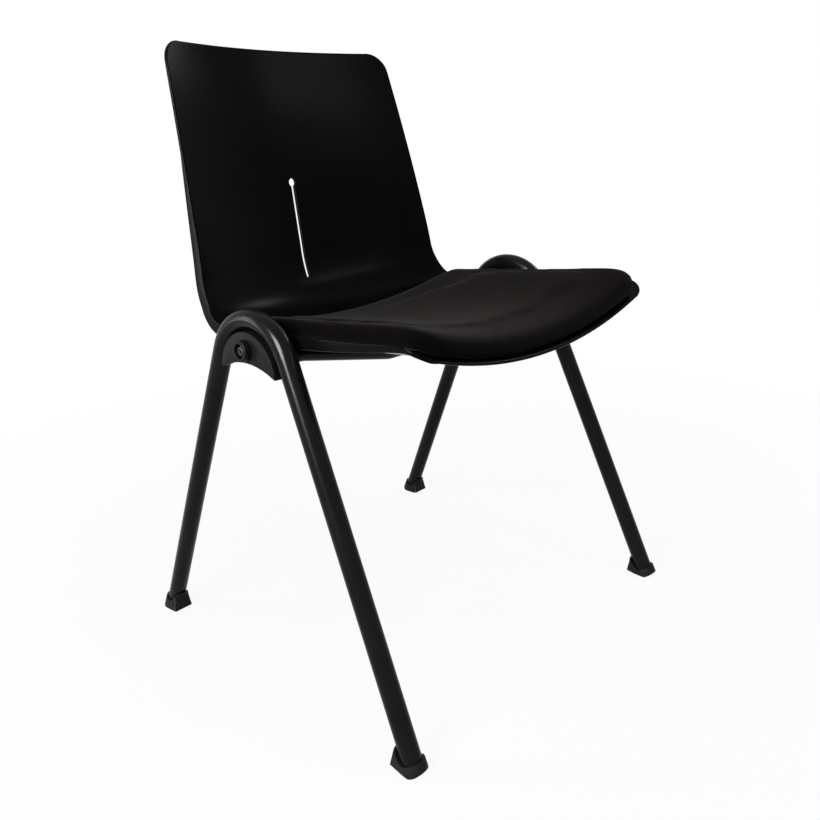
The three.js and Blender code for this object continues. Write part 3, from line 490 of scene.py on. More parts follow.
# %% [markdown]
# Helpers that turn points into pieces
#
# Each piece is a mesh from its own points, with its place in the mesh and its object at the origin.
# Points are in millimetres, as on a maker's drawing. Every piece gets its finish, the body it rides on
# and the solid it stands for in one call, so that none is forgotten.

# %% Write the piece helpers
MERGE_DISTANCE = 0.002
SMOOTH_ANGLE = math.radians(38)


def put_on(obj, slot, *nodes):
    """Gives a piece its finish, lets it ride on the chair and stand for CAD nodes."""
    obj.data.materials.clear()
    obj.data.materials.append(MATERIALS[slot])
    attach(obj, "root")
    if nodes:
        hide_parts(*nodes)


def smooth(obj, angle=SMOOTH_ANGLE):
    """Smooth shading, with edges sharper than an angle kept crisp."""
    obj.data.shade_smooth()
    obj.data.set_sharp_from_angle(angle=angle)


def new_piece(name, points, faces):
    """A mesh object from points in millimetres, with its faces turned outwards."""
    mesh = bpy.data.meshes.new(name)
    mesh.from_pydata([tuple(c * MM for c in p) for p in points], [], faces)
    shape = bmesh.new()
    shape.from_mesh(mesh)
    bmesh.ops.remove_doubles(shape, verts=shape.verts, dist=MERGE_DISTANCE * MM)
    bmesh.ops.recalc_face_normals(shape, faces=shape.faces)
    shape.to_mesh(mesh)
    shape.free()
    obj = linked(name, mesh)
    smooth(obj)
    return obj


def ring_faces(rows, columns, closed_rows=False):
    """Quads between neighbouring rings of equal length."""
    faces = []
    for i in range(rows if closed_rows else rows - 1):
        for j in range(columns):
            a, b = i * columns + j, i * columns + (j + 1) % columns
            c, d = ((i + 1) % rows) * columns + (j + 1) % columns, ((i + 1) % rows) * columns + j
            faces.append((a, b, c, d))
    return faces


def end_caps(count, columns):
    """One flat face in the first ring and one in the last, of rings with a count of points in all."""
    return [tuple(range(columns)), tuple(range(count - columns, count))[::-1]]


def with_modifiers(obj):
    """Gives a piece the mesh that its modifiers make, and takes them off."""
    result = bpy.data.meshes.new_from_object(obj.evaluated_get(bpy.context.evaluated_depsgraph_get()))
    obj.modifiers.clear()
    obj.data = result


print("piece helpers are ready")

# %% [markdown]
# Bent tubes
#
# A tube bender works from straight runs and bends of one radius. The path is described in the same way:
# by the corners where the straight runs would meet, with each corner rounded. A ring of points is then
# carried along the path. A curve object with a bevel would do this too, but a mesh needs no conversion
# and has its ends closed from the start.

# %% Write the bent tube
RUN_LENGTH = 12.0
# Shorter than this, the first ring's side direction is too close to the tube's own
LEAST_SIDE = 1e-3


def swept_tube(name, path, radius, sides):
    """A closed round bar along a path of points, with flat ends."""
    path = np.asarray(path, float)
    tangents = np.gradient(path, axis=0)
    tangents /= np.linalg.norm(tangents, axis=1)[:, None]
    side = np.cross(tangents[0], (0.0, 0.0, 1.0))
    if np.linalg.norm(side) < LEAST_SIDE:
        side = np.cross(tangents[0], (0.0, 1.0, 0.0))
    points = []
    angles = np.linspace(0, 2 * math.pi, sides, endpoint=False)
    for place, tangent in zip(path, tangents):
        side = side - tangent * (side @ tangent)
        side /= np.linalg.norm(side)
        other = np.cross(tangent, side)
        points += [place + radius * (math.cos(a) * side + math.sin(a) * other) for a in angles]
    return new_piece(name, points, ring_faces(len(path), sides) + end_caps(len(points), sides))


def fillet_path(corners, radius, steps):
    """Straight runs between corners, each corner rounded with one radius, as points."""
    corners = [np.asarray(c, float) for c in corners]
    points = [corners[0]]

    def straight_to(end):
        start = points[-1]
        count = max(1, int(np.linalg.norm(end - start) / RUN_LENGTH))
        points.extend(start + (end - start) * k / count for k in range(1, count + 1))

    for before, corner, after in zip(corners, corners[1:], corners[2:]):
        into = (corner - before) / np.linalg.norm(corner - before)
        away = (after - corner) / np.linalg.norm(after - corner)
        turn = math.acos(max(-1.0, min(1.0, float(into @ away))))
        inward = away - into * (into @ away)
        inward /= np.linalg.norm(inward)
        start = corner - into * radius * math.tan(turn / 2)
        straight_to(start)
        for k in range(1, steps + 1):
            angle = turn * k / steps
            points.append(start + into * radius * math.sin(angle) + inward * radius * (1 - math.cos(angle)))
    straight_to(corners[-1])
    return points


print("a tube can be bent")

# %% [markdown]
# The side frames
#
# Each frame is one round tube, bent to a loop at the top, with two straight legs that spread to the
# floor. The two frames lean in towards the seat. The path is worked out from the loop's radius and the
# feet's places, and the ring that goes along it has many sides, so that the black paint shows one long
# clean reflection.

# %% Sweep the two frames
TUBE_RADIUS, LOOP_TOP, LOOP_RADIUS, LOOP_FORWARD = 12.5, 491.3, 70.6, 5.5
LEG_REACH, LEG_END = 263.8, 10.5
TUBE_SIDES, LOOP_STEPS = 48, 48
HANDS = {"left": 1, "right": -1}
loop_z = LOOP_TOP - LOOP_RADIUS


def leg_line(way):
    """(angle from the floor, Y at a height) of the leg that stands on one side of the loop."""
    across = abs(-LOOP_FORWARD - way * LEG_REACH)
    angle = math.atan2(loop_z, across) + math.asin(LOOP_RADIUS / math.hypot(across, loop_z))
    return angle, lambda height: way * (LEG_REACH - height / math.tan(angle))


def on_frame(points, hand):
    """Points of a frame's own plane (outboard, Y, up the plane) to the chair's frame."""
    out, y, up = np.asarray(points, float).T
    x = FLOOR_WIDTH / 2 + out * math.cos(FRAME_LEAN) - up * math.sin(FRAME_LEAN)
    z = out * math.sin(FRAME_LEAN) + up * math.cos(FRAME_LEAN)
    return np.stack([hand * x, y, z], axis=1)


def frame_path():
    (front_angle, front_at), (rear_angle, rear_at) = leg_line(-1), leg_line(1)
    meet = 2 * LEG_REACH / (1 / math.tan(front_angle) + 1 / math.tan(rear_angle))
    corners = [(0, front_at(LEG_END), LEG_END), (0, front_at(meet), meet), (0, rear_at(LEG_END), LEG_END)]
    return fillet_path(corners, LOOP_RADIUS, LOOP_STEPS)


for side_name, hand in HANDS.items():
    tube = swept_tube(f"bent_tube_{side_name}", on_frame(frame_path(), hand), TUBE_RADIUS, TUBE_SIDES)
    put_on(tube, "frame_paint", f"side_frame_{side_name}")
    print(tube.name, "faces:", len(tube.data.polygons))

# %% [markdown]
# The moulded shell
#
# Seat and back are one curved sheet. It is described by stations from the top edge to the front edge: at
# each, where the rim is, where the middle is, how wide it is and how deep its turned-back flange is. A
# smooth curve through the stations gives the skin. Sculpting it would be quicker, but then no measure
# could be changed.

# %% Describe the shell's stations
SHELL_THICKNESS, RIM_THICKNESS, FLANGE_DEPTH, FLANGE_BEVEL = 4.8, 3.2, 15.2, 0.9
SEAT_EDGE_HEIGHT, SEAT_RISE, SEAT_DISH, SEAT_REACH, SEAT_REAR = 467.5, 17.0, 46.0, 257.5, 90.2
BACK_HEIGHT, BACK_RAKE, BACK_HOLLOW = 350.8, 115.7, 67.0
# Air between the shell and the side frames, and how much narrower the top edge is on each side
SHELL_GAP, TOP_DRAWN_IN = 8.6, 35.4
SEAT_HALF = FLOOR_WIDTH / 2 - SEAT_EDGE_HEIGHT * math.tan(FRAME_LEAN) - TUBE_RADIUS - SHELL_GAP
TOP_HALF = SEAT_HALF - TOP_DRAWN_IN
TOP_CORNER, FRONT_CORNER = 27.0, 25.0
# Back: height, rake, hollow, width, flange and section shares
BACK_SHARES = [
    (1.0, 0.985, 0.612, 0.0, 0.0, 0.0), (0.917, 0.92, 0.661, 0.088, 0.0, 0.0),
    (0.775, 0.812, 0.721, 0.233, 0.0, 0.0), (0.633, 0.709, 0.784, 0.373, 0.09, 0.0),
    (0.491, 0.612, 0.848, 0.506, 0.41, 0.0), (0.349, 0.52, 0.925, 0.63, 0.7, 0.0),
    (0.221, 0.443, 0.985, 0.735, 0.93, 0.0), (0.121, 0.395, 1.0, 0.825, 1.0, 0.0),
]
# Bend: edge back, edge up, middle back, middle up, width and flange shares
BEND_SHARES = [
    (0.885, 0.538, 0.92, 0.576, 0.893, 1.0), (0.778, 0.262, 0.79, 0.297, 0.95, 0.98),
    (0.627, 0.06, 0.593, 0.109, 0.98, 0.95), (0.392, -0.012, 0.327, 0.03, 1.0, 0.92),
]
# Seat: forward, rise, dish, flange and section shares
SEAT_SHARES = [
    (-0.233, 0.03, 0.88, 0.9, 0.05), (-0.078, 0.15, 0.93, 0.92, 0.07), (0.155, 0.34, 0.995, 0.94, 0.1),
    (0.388, 0.49, 1.005, 0.76, 0.12), (0.621, 0.7, 1.01, 0.52, 0.12), (0.796, 0.97, 1.02, 0.38, 0.1),
    (0.901, 0.95, 0.985, 0.16, 0.08), (0.955, 0.78, 0.91, 0.02, 0.06), (1.0, 0.53, 0.84, 0.0, 0.05),
]


def shell_stations():
    """Rows of edge Y, edge Z, middle Y, middle Z, half width, flange share and section power."""
    def between(share):
        return TOP_HALF + (SEAT_HALF - TOP_HALF) * share

    back, seat, bend = [], [], []
    for up, rake, hollow, width, flange, power in BACK_SHARES:
        y, z = SEAT_REAR + rake * BACK_RAKE, SEAT_EDGE_HEIGHT + up * BACK_HEIGHT
        back.append((y, z, y + hollow * BACK_HOLLOW, z, between(width), flange, power))
    for forward, rise, dish, flange, power in SEAT_SHARES:
        y, z = -forward * SEAT_REACH, SEAT_EDGE_HEIGHT + rise * SEAT_RISE
        seat.append((y, z, y, z - dish * SEAT_DISH, SEAT_HALF, flange, power))
    start, end = seat[0], back[-1]
    for *shares, width, flange in BEND_SHARES:
        places = [start[k] + (end[k] - start[k]) * share for k, share in enumerate(shares)]
        bend.append((*places, between(width), flange, start[6] * (1 - shares[3])))
    return np.array(back + bend + seat)


stations = shell_stations()
last = len(stations) - 1
print("stations:", last + 1, "half width of the seat:", round(SEAT_HALF, 2))

# %% [markdown]
# From stations to a skin
#
# Two numbers say where a point of the shell's upper skin is: how far across it lies, and its place
# between the stations. The pad uses the same two later, so it follows the seat exactly. The sheet's
# thickness goes straight through the skin, and both top corners and both front corners are rounded off in
# the outline.

# %% Write the skin
def station_at(t):
    """Smooth curve through the stations. t may be an array; the result has seven columns."""
    t = np.asarray(t, float)
    i = np.minimum(np.floor(t).astype(int), last - 1)
    f = (t - i)[..., None]
    near = [stations[np.clip(i + k, 0, last)] for k in (-1, 0, 1, 2)]
    weights = (-0.5 * f + f**2 - 0.5 * f**3, 1 - 2.5 * f**2 + 1.5 * f**3,
               0.5 * f + 2 * f**2 - 1.5 * f**3, -0.5 * f**2 + 0.5 * f**3)
    return sum(w * n for w, n in zip(weights, near))


def skin(x, t):
    s = station_at(t)
    share = np.abs(x / s[..., 4]) ** (2 + s[..., 6])
    y = s[..., 2] + (s[..., 0] - s[..., 2]) * share
    z = s[..., 3] + (s[..., 1] - s[..., 3]) * share
    return np.stack(np.broadcast_arrays(x, y, z), axis=-1)


def through(x, t, step=0.02):
    """Unit direction from the upper skin down through the shell."""
    run = skin(x, np.minimum(t + step, last)) - skin(x, np.maximum(t - step, 0))
    down = np.stack([np.zeros_like(run[..., 0]), -run[..., 2], run[..., 1]], axis=-1)
    return down / np.linalg.norm(down, axis=-1)[..., None]


def rounded_off(radius, distance):
    short = radius - np.minimum(radius, np.maximum(distance, 0))
    return radius - np.sqrt(radius * radius - short * short)


def outline_half(t):
    s = station_at(t)
    top = rounded_off(TOP_CORNER, SEAT_EDGE_HEIGHT + BACK_HEIGHT - s[1]) if t < len(BACK_SHARES) else 0
    return s[4] - top - rounded_off(FRONT_CORNER, s[0] + SEAT_REACH)


print("half width of the top edge:", round(TOP_HALF, 2))

# %% [markdown]
# The sheet with its rim
#
# At the sides the sheet turns down into a thin flange with rounded edges. Each ring of the loft is a
# whole section: the upper skin, the rim round its flange, and the lower skin. At the top and front edges
# the rings grow thinner over the last millimetres, so that these edges are round too. A solidify modifier
# would give one thickness everywhere, but this sheet thins towards its rim.

# %% Loft the shell ring by ring
SHELL_COLUMNS, EDGE_STEPS = 34, 6
# The part of a sine wave that spaces the columns, closer together towards the rim
COLUMN_SPREAD = math.pi / 2 * 0.93
# The rim's rounding at most, and how many times it has to fit into the rim's depth
RIM_ROUND, ROUNDS_IN_RIM = 1.5, 2.2
# Small steps of the flange's inner face, in millimetres
LIP_IN, LIP_OUT, LIP_CLEAR = 0.2, 0.3, 0.05
# Share of the thickness that comes off each skin at the two end edges
MOST_TRIM = 0.46
# How many stations from each end the rings may grow thinner
TRIMMED_STATIONS = 2
# Where the rings lie: past the first station, past the last but one, and how far apart between these
TOP_ROWS = (0.0, 0.004, 0.012, 0.03, 0.06, 0.1, 0.15, 0.21, 0.28, 0.36, 0.46, 0.58, 0.7, 0.84)
FRONT_ROWS = (0, 0.2, 0.38, 0.52, 0.64, 0.74, 0.82, 0.88, 0.93, 0.965, 0.985, 0.995, 1)
MIDDLE_STEP = 0.2


def shell_ring(t, trim):
    """Closed section of the shell. trim takes a share of the thickness off both skins."""
    half = float(outline_half(t))
    flange = float(station_at(t)[5]) * FLANGE_DEPTH
    shares = np.sin(np.linspace(0, 1, SHELL_COLUMNS) * COLUMN_SPREAD) / math.sin(COLUMN_SPREAD)
    x = shares * (half - RIM_THICKNESS)
    thick = (SHELL_THICKNESS + (RIM_THICKNESS - SHELL_THICKNESS) * shares**2)[:, None]
    skins, ways = skin(x, t), through(x, np.full_like(x, t))
    upper = list(skins + ways * thick * trim)
    lower = list(skins + ways * thick * (1 - trim))
    edge, down = skin(half, t), through(half, t)
    inner, top = half - RIM_THICKNESS, trim * RIM_THICKNESS
    fall = max(0.0, float((skin(inner, t) - edge) @ down))
    depth = max(RIM_THICKNESS + fall + FLANGE_BEVEL / 2, RIM_THICKNESS + flange) - top
    radius = min(RIM_ROUND, (depth - top) / ROUNDS_IN_RIM)
    out = half - top

    def rim(x_place, along):
        return np.array([x_place, edge[1], edge[2]]) + down * along

    quarter = [math.pi / 2 * k / EDGE_STEPS for k in range(EDGE_STEPS + 1)]
    upper += [rim(out - radius + radius * math.sin(a), top + radius - radius * math.cos(a))
              for a in quarter]
    upper += [rim(out - radius + radius * math.cos(a), depth - radius + radius * math.sin(a))
              for a in quarter]
    inner_top = min((RIM_THICKNESS + fall) * (1 - trim), depth - LIP_IN)
    lower.append(rim(inner - LIP_IN, inner_top + LIP_IN / 2))
    lower.append(rim(inner, (inner_top + depth) / 2))
    lower.append(rim(min(inner + LIP_OUT, out - radius - LIP_CLEAR), depth - LIP_CLEAR))
    points = upper + lower[::-1]
    return points + [p * (-1, 1, 1) for p in reversed(points[1:-1])]


def end_trim(t):
    """Trim of a ring: none in the middle, and rounding off over half a thickness at both ends."""
    place, away = station_at(t), SHELL_THICKNESS
    if t < TRIMMED_STATIONS:
        away = abs(SEAT_EDGE_HEIGHT + BACK_HEIGHT - place[1])
    elif t > last - TRIMMED_STATIONS:
        away = place[0] + SEAT_REACH
    short = max(0.0, 1 - 2 * away / SHELL_THICKNESS)
    return MOST_TRIM * (1 - math.sqrt(max(0.0, 1 - short * short)))


def end_faces(columns):
    """Faces that close a ring: strips between its upper and lower skins, and one face in each rim."""
    under, rim = columns // 2, SHELL_COLUMNS - 1
    faces = []
    for i in range(rim):
        faces.append((i, i + 1, under - i - 1, under - i))
        faces.append(((columns - i) % columns, columns - i - 1, under + i + 1, under + i))
    faces.append(tuple(range(rim, under - rim + 1)))
    faces.append(tuple(range(under + rim, columns - rim + 1)))
    return faces


def make_shell():
    rows = [*TOP_ROWS, *np.arange(1, last - 1, MIDDLE_STEP), *(last - 1 + share for share in FRONT_ROWS)]
    rings = [shell_ring(t, end_trim(t)) for t in rows]
    columns = len(rings[0])
    faces = ring_faces(len(rings), columns)
    for base in (0, (len(rings) - 1) * columns):
        faces += [tuple(base + k for k in face) for face in end_faces(columns)]
    return new_piece("moulded_shell", [p for ring in rings for p in ring], faces)


shell = make_shell()
print("shell faces:", len(shell.data.polygons))

# %% [markdown]
# The slot in the back
#
# A narrow slot with a round eye at its top runs down the middle of the back. It goes right through, so
# the white behind the chair shows in it. A boolean cuts it, as a saw would, because the sheet is thick
# and curved.

# %% Cut the slot
SLOT_LENGTH, SLOT_WIDTH, SLOT_FOOT, SLOT_EYE = 144.0, 6.2, 486.5, 6.4
ROUND_STEPS = 24


def slot_outline():
    """Points of the slot in (X, Z): a round foot, straight sides and a wider round eye."""
    half, top = SLOT_WIDTH / 2, SLOT_FOOT + SLOT_LENGTH
    points = []
    for k in range(ROUND_STEPS + 1):
        a = math.pi + math.pi * k / ROUND_STEPS
        points.append((half * math.cos(a), SLOT_FOOT + half + half * math.sin(a)))
    start = -math.acos(half / SLOT_EYE)
    for k in range(2 * ROUND_STEPS + 1):
        a = start + (math.pi - 2 * start) * k / (2 * ROUND_STEPS)
        points.append((SLOT_EYE * math.cos(a), top + SLOT_EYE * math.sin(a)))
    return points


def cut_with(obj, cutter):
    """Takes the cutter's body out of a piece, and removes the cutter."""
    cut = obj.modifiers.new("cut", "BOOLEAN")
    cut.operation, cut.solver, cut.object = "DIFFERENCE", "EXACT", cutter
    with_modifiers(obj)
    bpy.data.objects.remove(cutter)


def cut_slot(obj):
    outline = slot_outline()
    near, far = SEAT_REAR, SEAT_REAR + BACK_RAKE + BACK_HOLLOW * 2
    points = [(x, y, z) for y in (near, far) for x, z in outline]
    faces = ring_faces(2, len(outline)) + end_caps(len(points), len(outline))
    cut_with(obj, new_piece("slot_cutter", points, faces))
    smooth(obj)


cut_slot(shell)
put_on(shell, "shell_plastic", "seat_back_shell")
print("shell faces after the cut:", len(shell.data.polygons))

# %% [markdown]
# The upholstered pad
#
# The pad fills the seat's dish. It is foam under cloth: nearly upright sides, a rounded shoulder and a
# top that follows the dish. A box with rounded corners wouldn't bend with the seat, so the pad starts as
# rings round its outline, laid over the shell's skin.

# %% Describe the pad
PAD_SIDE, PAD_FRONT, PAD_REAR = 8.5, 3.0, 124.0
PAD_FRONT_CORNER, PAD_REAR_CORNER, LEAST_CORNER, CORNER_STEPS = 34.0, 46.0, 0.5, 32
# How much a corner's radius shrinks with the inset, as a divisor, and the inmost ring's half length
CORNER_SHRINK, PAD_MIDDLE = 3, 1.5
PAD_HEIGHT, PAD_SHOULDER, PAD_FOOT = 34.5, 30.0, 1.0
PAD_REAR_HEIGHT, PAD_REAR_ROUND, PAD_ROUND_RUN = 23.0, 9.0, 45.0
PAD_FRONT_DROP, PAD_DROP_RUN = 5.0, 95.0
PAD_COLUMNS, NOSE_RINGS = 220, 30
# Nose of the pad: inset share of the shoulder, height share of the pad
PAD_NOSE = np.array([(0.133, 0.03), (0.03, 0.17), (0.0, 0.34), (0.01, 0.52), (0.07, 0.69), (0.19, 0.82),
                     (0.42, 0.92), (1.0, 0.98), (1.7, 1.0)])
# Where the rings lie on the underside, from the middle out, and on top, from the shoulder in
UNDER_RINGS = (1, 0.85, 0.7, 0.55, 0.4, 0.28, 0.18, 0.1, 0.05)
TOP_RINGS = (0.1, 0.2, 0.32, 0.46, 0.6, 0.75, 0.88, 1)

# A table from a middle's Y to its station, for the seat's part of the shell
TABLE_STEPS = 4000
table_t = np.linspace(len(BACK_SHARES), last, TABLE_STEPS)
table_y = station_at(table_t)[:, 2]


def over_seat(x, middle_y, height):
    """A point over the seat: across, the Y of its row's middle, and the height above the skin."""
    t = np.interp(-np.asarray(middle_y, float), -table_y, table_t)
    return skin(x, t) - through(x, t) * np.asarray(height)[..., None]


def pad_outline(inset):
    """Points round the pad at an inset, evenly spaced, with four round corners."""
    half, front, rear = SEAT_HALF - PAD_SIDE - inset, -(SEAT_REACH - PAD_FRONT - inset), PAD_REAR - inset
    most = min(half, (rear - front) / 2)
    near, back = (min(max(corner - inset / CORNER_SHRINK, LEAST_CORNER), most)
                  for corner in (PAD_FRONT_CORNER, PAD_REAR_CORNER))
    # The centre, the radius and the first angle of each corner
    corners = [(half - near, front + near, near, -90), (half - back, rear - back, back, 0),
               (-half + back, rear - back, back, 90), (-half + near, front + near, near, 180)]
    dense = []
    for x, y, r, start in corners:
        for k in range(CORNER_STEPS + 1):
            a = math.radians(start + 90 * k / CORNER_STEPS)
            dense.append((x + r * math.cos(a), y + r * math.sin(a)))
    dense = np.array(dense + dense[:1])
    length = np.concatenate([[0], np.cumsum(np.linalg.norm(np.diff(dense, axis=0), axis=1))])
    at = np.linspace(0, length[-1], PAD_COLUMNS, endpoint=False)
    return np.stack([np.interp(at, length, dense[:, k]) for k in (0, 1)], axis=1)


def pad_height(height, y):
    """The pad's height over the skin: lower towards its rear and front edges."""
    along = (y + SEAT_REACH) / (SEAT_REACH + PAD_REAR)
    near = np.clip((y - PAD_REAR + PAD_ROUND_RUN) / PAD_ROUND_RUN, 0, 1)
    front = np.maximum((PAD_DROP_RUN - SEAT_REACH - y) / PAD_DROP_RUN, 0)
    drop = (PAD_HEIGHT - PAD_REAR_HEIGHT) * along + PAD_REAR_ROUND * near**2 + PAD_FRONT_DROP * front
    return height - np.maximum(0, height - PAD_FOOT) / (PAD_HEIGHT - PAD_FOOT) * drop


print("pad's nose rows:", len(PAD_NOSE))

# %% Lay the pad's rings over the seat
def pad_rings():
    """Rings of (inset, height): across the underside, up the nose and in over the top."""
    most = (SEAT_REACH - PAD_FRONT + PAD_REAR) / 2 - PAD_MIDDLE
    rings = [(most * share, PAD_FOOT) for share in UNDER_RINGS]
    for share in np.linspace(0, len(PAD_NOSE) - 1, NOSE_RINGS):
        inset, height = (np.interp(share, range(len(PAD_NOSE)), PAD_NOSE[:, k]) for k in (0, 1))
        rings.append((inset * PAD_SHOULDER, height * PAD_HEIGHT))
    start = rings[-1][0]
    return rings + [(start + (most - start) * share, PAD_HEIGHT) for share in TOP_RINGS]


def make_pad():
    points, rings = [], pad_rings()
    for inset, height in rings:
        x, y = pad_outline(inset).T
        points += list(over_seat(x, y, pad_height(height, y)))
    faces = ring_faces(len(rings), PAD_COLUMNS)
    for base in (0, (len(rings) - 1) * PAD_COLUMNS):
        ring = points[base:base + PAD_COLUMNS]
        points.append(sum(ring) / len(ring))
        faces += [(base + i, base + (i + 1) % PAD_COLUMNS, len(points) - 1) for i in range(PAD_COLUMNS)]
    return new_piece("pad_cover", points, faces)


pad = make_pad()
print("pad faces before cloth:", len(pad.data.polygons))

# %% [markdown]
# The cover as cloth
#
# Foam pushes its cover out evenly, and the cloth answers with soft unevenness. The rings are turned into
# an even mesh, and a cloth simulation lets it out under a little air pressure. The median swelling is
# taken off again, what is left is smoothed, and no point may move far, so that the pad keeps its measured
# shape.

# %% Let the cover out under pressure
VOXEL, PRESSURE, CLOTH_FRAMES, MOST_MOVE, CALMING_ROUNDS = 0.005, 4.0, 20, 0.003, 14
# The upward part of a normal, below which the cover is held and above which it is the pad's top
HELD_BELOW, TOP_ABOVE = -0.25, 0.5
# The shortest length of a move to divide by, in metres, which keeps away from zero
LEAST_MOVE = 1e-9


def even_mesh(obj, size):
    remesh = obj.modifiers.new("even", "REMESH")
    remesh.mode, remesh.voxel_size = "VOXEL", size
    with_modifiers(obj)


def vectors_of(mesh, kind):
    """The places ("co") or normals ("normal") of all points, one row each."""
    flat = np.zeros(len(mesh.vertices) * 3)
    mesh.vertices.foreach_get(kind, flat)
    return flat.reshape(-1, 3)


def calmed(mesh, field, rounds):
    """A field of vectors on the points, averaged again and again with its neighbours."""
    ends = np.zeros(len(mesh.edges) * 2, int)
    mesh.edges.foreach_get("vertices", ends)
    first, second = ends.reshape(-1, 2).T
    count = np.bincount(ends, minlength=len(field))[:, None]
    for _ in range(rounds):
        total = np.zeros_like(field)
        np.add.at(total, first, field[second])
        np.add.at(total, second, field[first])
        field = (field + total / count) / 2
    return field


def let_out(obj):
    """Cloth under pressure, kept near its start: the median swelling is taken off again."""
    start, normals = vectors_of(obj.data, "co"), vectors_of(obj.data, "normal")
    held = obj.vertex_groups.new(name="held")
    for index in np.nonzero(normals[:, 2] < HELD_BELOW)[0]:
        held.add([int(index)], 1.0, "REPLACE")
    cloth = obj.modifiers.new("cloth", "CLOTH")
    cloth.settings.use_pressure = True
    cloth.settings.uniform_pressure_force = PRESSURE
    cloth.settings.effector_weights.gravity = 0
    cloth.settings.vertex_group_mass = "held"
    for number in range(1, CLOTH_FRAMES + 1):
        scene.frame_set(number)
    moved = vectors_of(obj.evaluated_get(bpy.context.evaluated_depsgraph_get()).data, "co") - start
    obj.modifiers.clear()
    obj.vertex_groups.clear()
    scene.frame_set(1)
    swelling = np.median((moved * normals).sum(axis=1)[normals[:, 2] > TOP_ABOVE])
    moved -= normals * np.where(normals[:, 2] > HELD_BELOW, swelling, 0)[:, None]
    moved = calmed(obj.data, moved, CALMING_ROUNDS)
    size = np.linalg.norm(moved, axis=1)
    moved *= np.minimum(1, MOST_MOVE / np.maximum(size, LEAST_MOVE))[:, None]
    obj.data.vertices.foreach_set("co", (start + moved).ravel())
    obj.data.update()
    return float(swelling), float(size.max())


even_mesh(pad, VOXEL)
print("cloth moved (median, most) in m:", [round(v, 4) for v in let_out(pad)])
refine = pad.modifiers.new("refine", "SUBSURF")
refine.levels = refine.render_levels = 1
pad.data.shade_smooth()
put_on(pad, "seat_fabric", "seat_cushion")
print("pad faces:", len(pad.data.polygons))

# %% [markdown]
# Pieces turned on a lathe, and copies with rounded edges
#
# The bosses, washers and bolts are round about one axis, so a profile is carried round it. A hexagonal
# row in the same lathe gives the bolt's socket. Other pieces have the right shape as solids and only lack
# the small rounding of a real edge, so a copy of the solid gets a bevel, with normals that keep the flat
# fields flat.

# %% Write the lathe and the edge rounding
BOSS_DROP = 35.5
BOLT_Y, BOLT_UP = -LOOP_FORWARD, LOOP_TOP - BOSS_DROP
LATHE_SIDES = 60
WELD_DISTANCE, COPLANAR = 0.005, math.radians(0.8)
ROUNDED_ANGLE, ROUNDED_SEGMENTS = math.radians(33), 3


def hexagon(angle):
    """Radius of a hexagon at an angle, as a share of its corners' radius."""
    return math.cos(math.pi / 6) / math.cos(angle % (math.pi / 3) - math.pi / 6)


def corner_rows(radius, out, size, face, steps=5):
    """Profile rows round an outer corner. face is 1 on the outboard side and -1 on the inboard side."""
    angles = [math.pi / 2 * (k / steps - (face < 0)) for k in range(steps + 1)]
    return [(radius - size + size * math.cos(a), out - face * size + size * math.sin(a), False)
            for a in angles]


def lathed(name, rows, hand, closed):
    """Carries rows (radius, outboard place, whether hexagonal) round the bolt's axis of one side."""
    angles = [2 * math.pi * k / LATHE_SIDES for k in range(LATHE_SIDES)]
    points = []
    for radius, out, is_hexagonal in rows:
        for a in angles:
            r = radius * (hexagon(a) if is_hexagonal else 1)
            points.append((out, BOLT_Y + r * math.cos(a), BOLT_UP + r * math.sin(a)))
    faces = ring_faces(len(rows), LATHE_SIDES, closed)
    if not closed:
        faces += end_caps(len(points), LATHE_SIDES)
    return new_piece(name, on_frame(points, hand), faces)


def copy_of(name, node_name):
    """A new piece with the shape of a solid, its flat fields joined to single faces."""
    shape = bmesh.new()
    shape.from_mesh(frame["nodes"][node_name].data)
    bmesh.ops.remove_doubles(shape, verts=shape.verts, dist=WELD_DISTANCE * MM)
    bmesh.ops.dissolve_limit(shape, angle_limit=COPLANAR, verts=shape.verts, edges=shape.edges)
    mesh = bpy.data.meshes.new(name)
    shape.to_mesh(mesh)
    shape.free()
    return linked(name, mesh)


def round_edges(obj, width):
    """Small rounding, in millimetres, on every edge sharper than an angle."""
    obj.data.shade_smooth()
    edge = obj.modifiers.new("edges", "BEVEL")
    edge.width, edge.segments = width * MM, ROUNDED_SEGMENTS
    edge.limit_method, edge.angle_limit = "ANGLE", ROUNDED_ANGLE
    edge.harden_normals = True


print("lathe sides:", LATHE_SIDES)

# %% [markdown]
# The side plates
#
# Inside each loop sits a moulded plate. Its raised face is level with the tube, and a deep groove runs
# between the two, which shows as a black line. The solid has only a shallow ledge there. So the groove is
# cut into a copy of it, with a bar that follows the face's dome, and the groove's colour is painted nearly
# black by a mask, as painted shade for the shadow in it.

# %% Groove the plates
PLATE_LEDGE, PLATE_ROUND = 5.0, 0.5
# The raised face's dome: how far inside the tube it stays, and its centre above the loop's
FACE_GAP, FACE_LIFT = 4.0, 3.0
FACE_RADIUS, FACE_CENTRE = LOOP_RADIUS - TUBE_RADIUS - FACE_GAP, loop_z + FACE_LIFT
# The groove's floor, the air beside the face's wall, and how far the bar reaches above the ledge
GROOVE_FLOOR, WALL_CLEAR, BAR_ABOVE = -4.0, 0.05, 2.0
GROOVE_STEPS, GROOVE_OVERRUN = 72, math.radians(5)


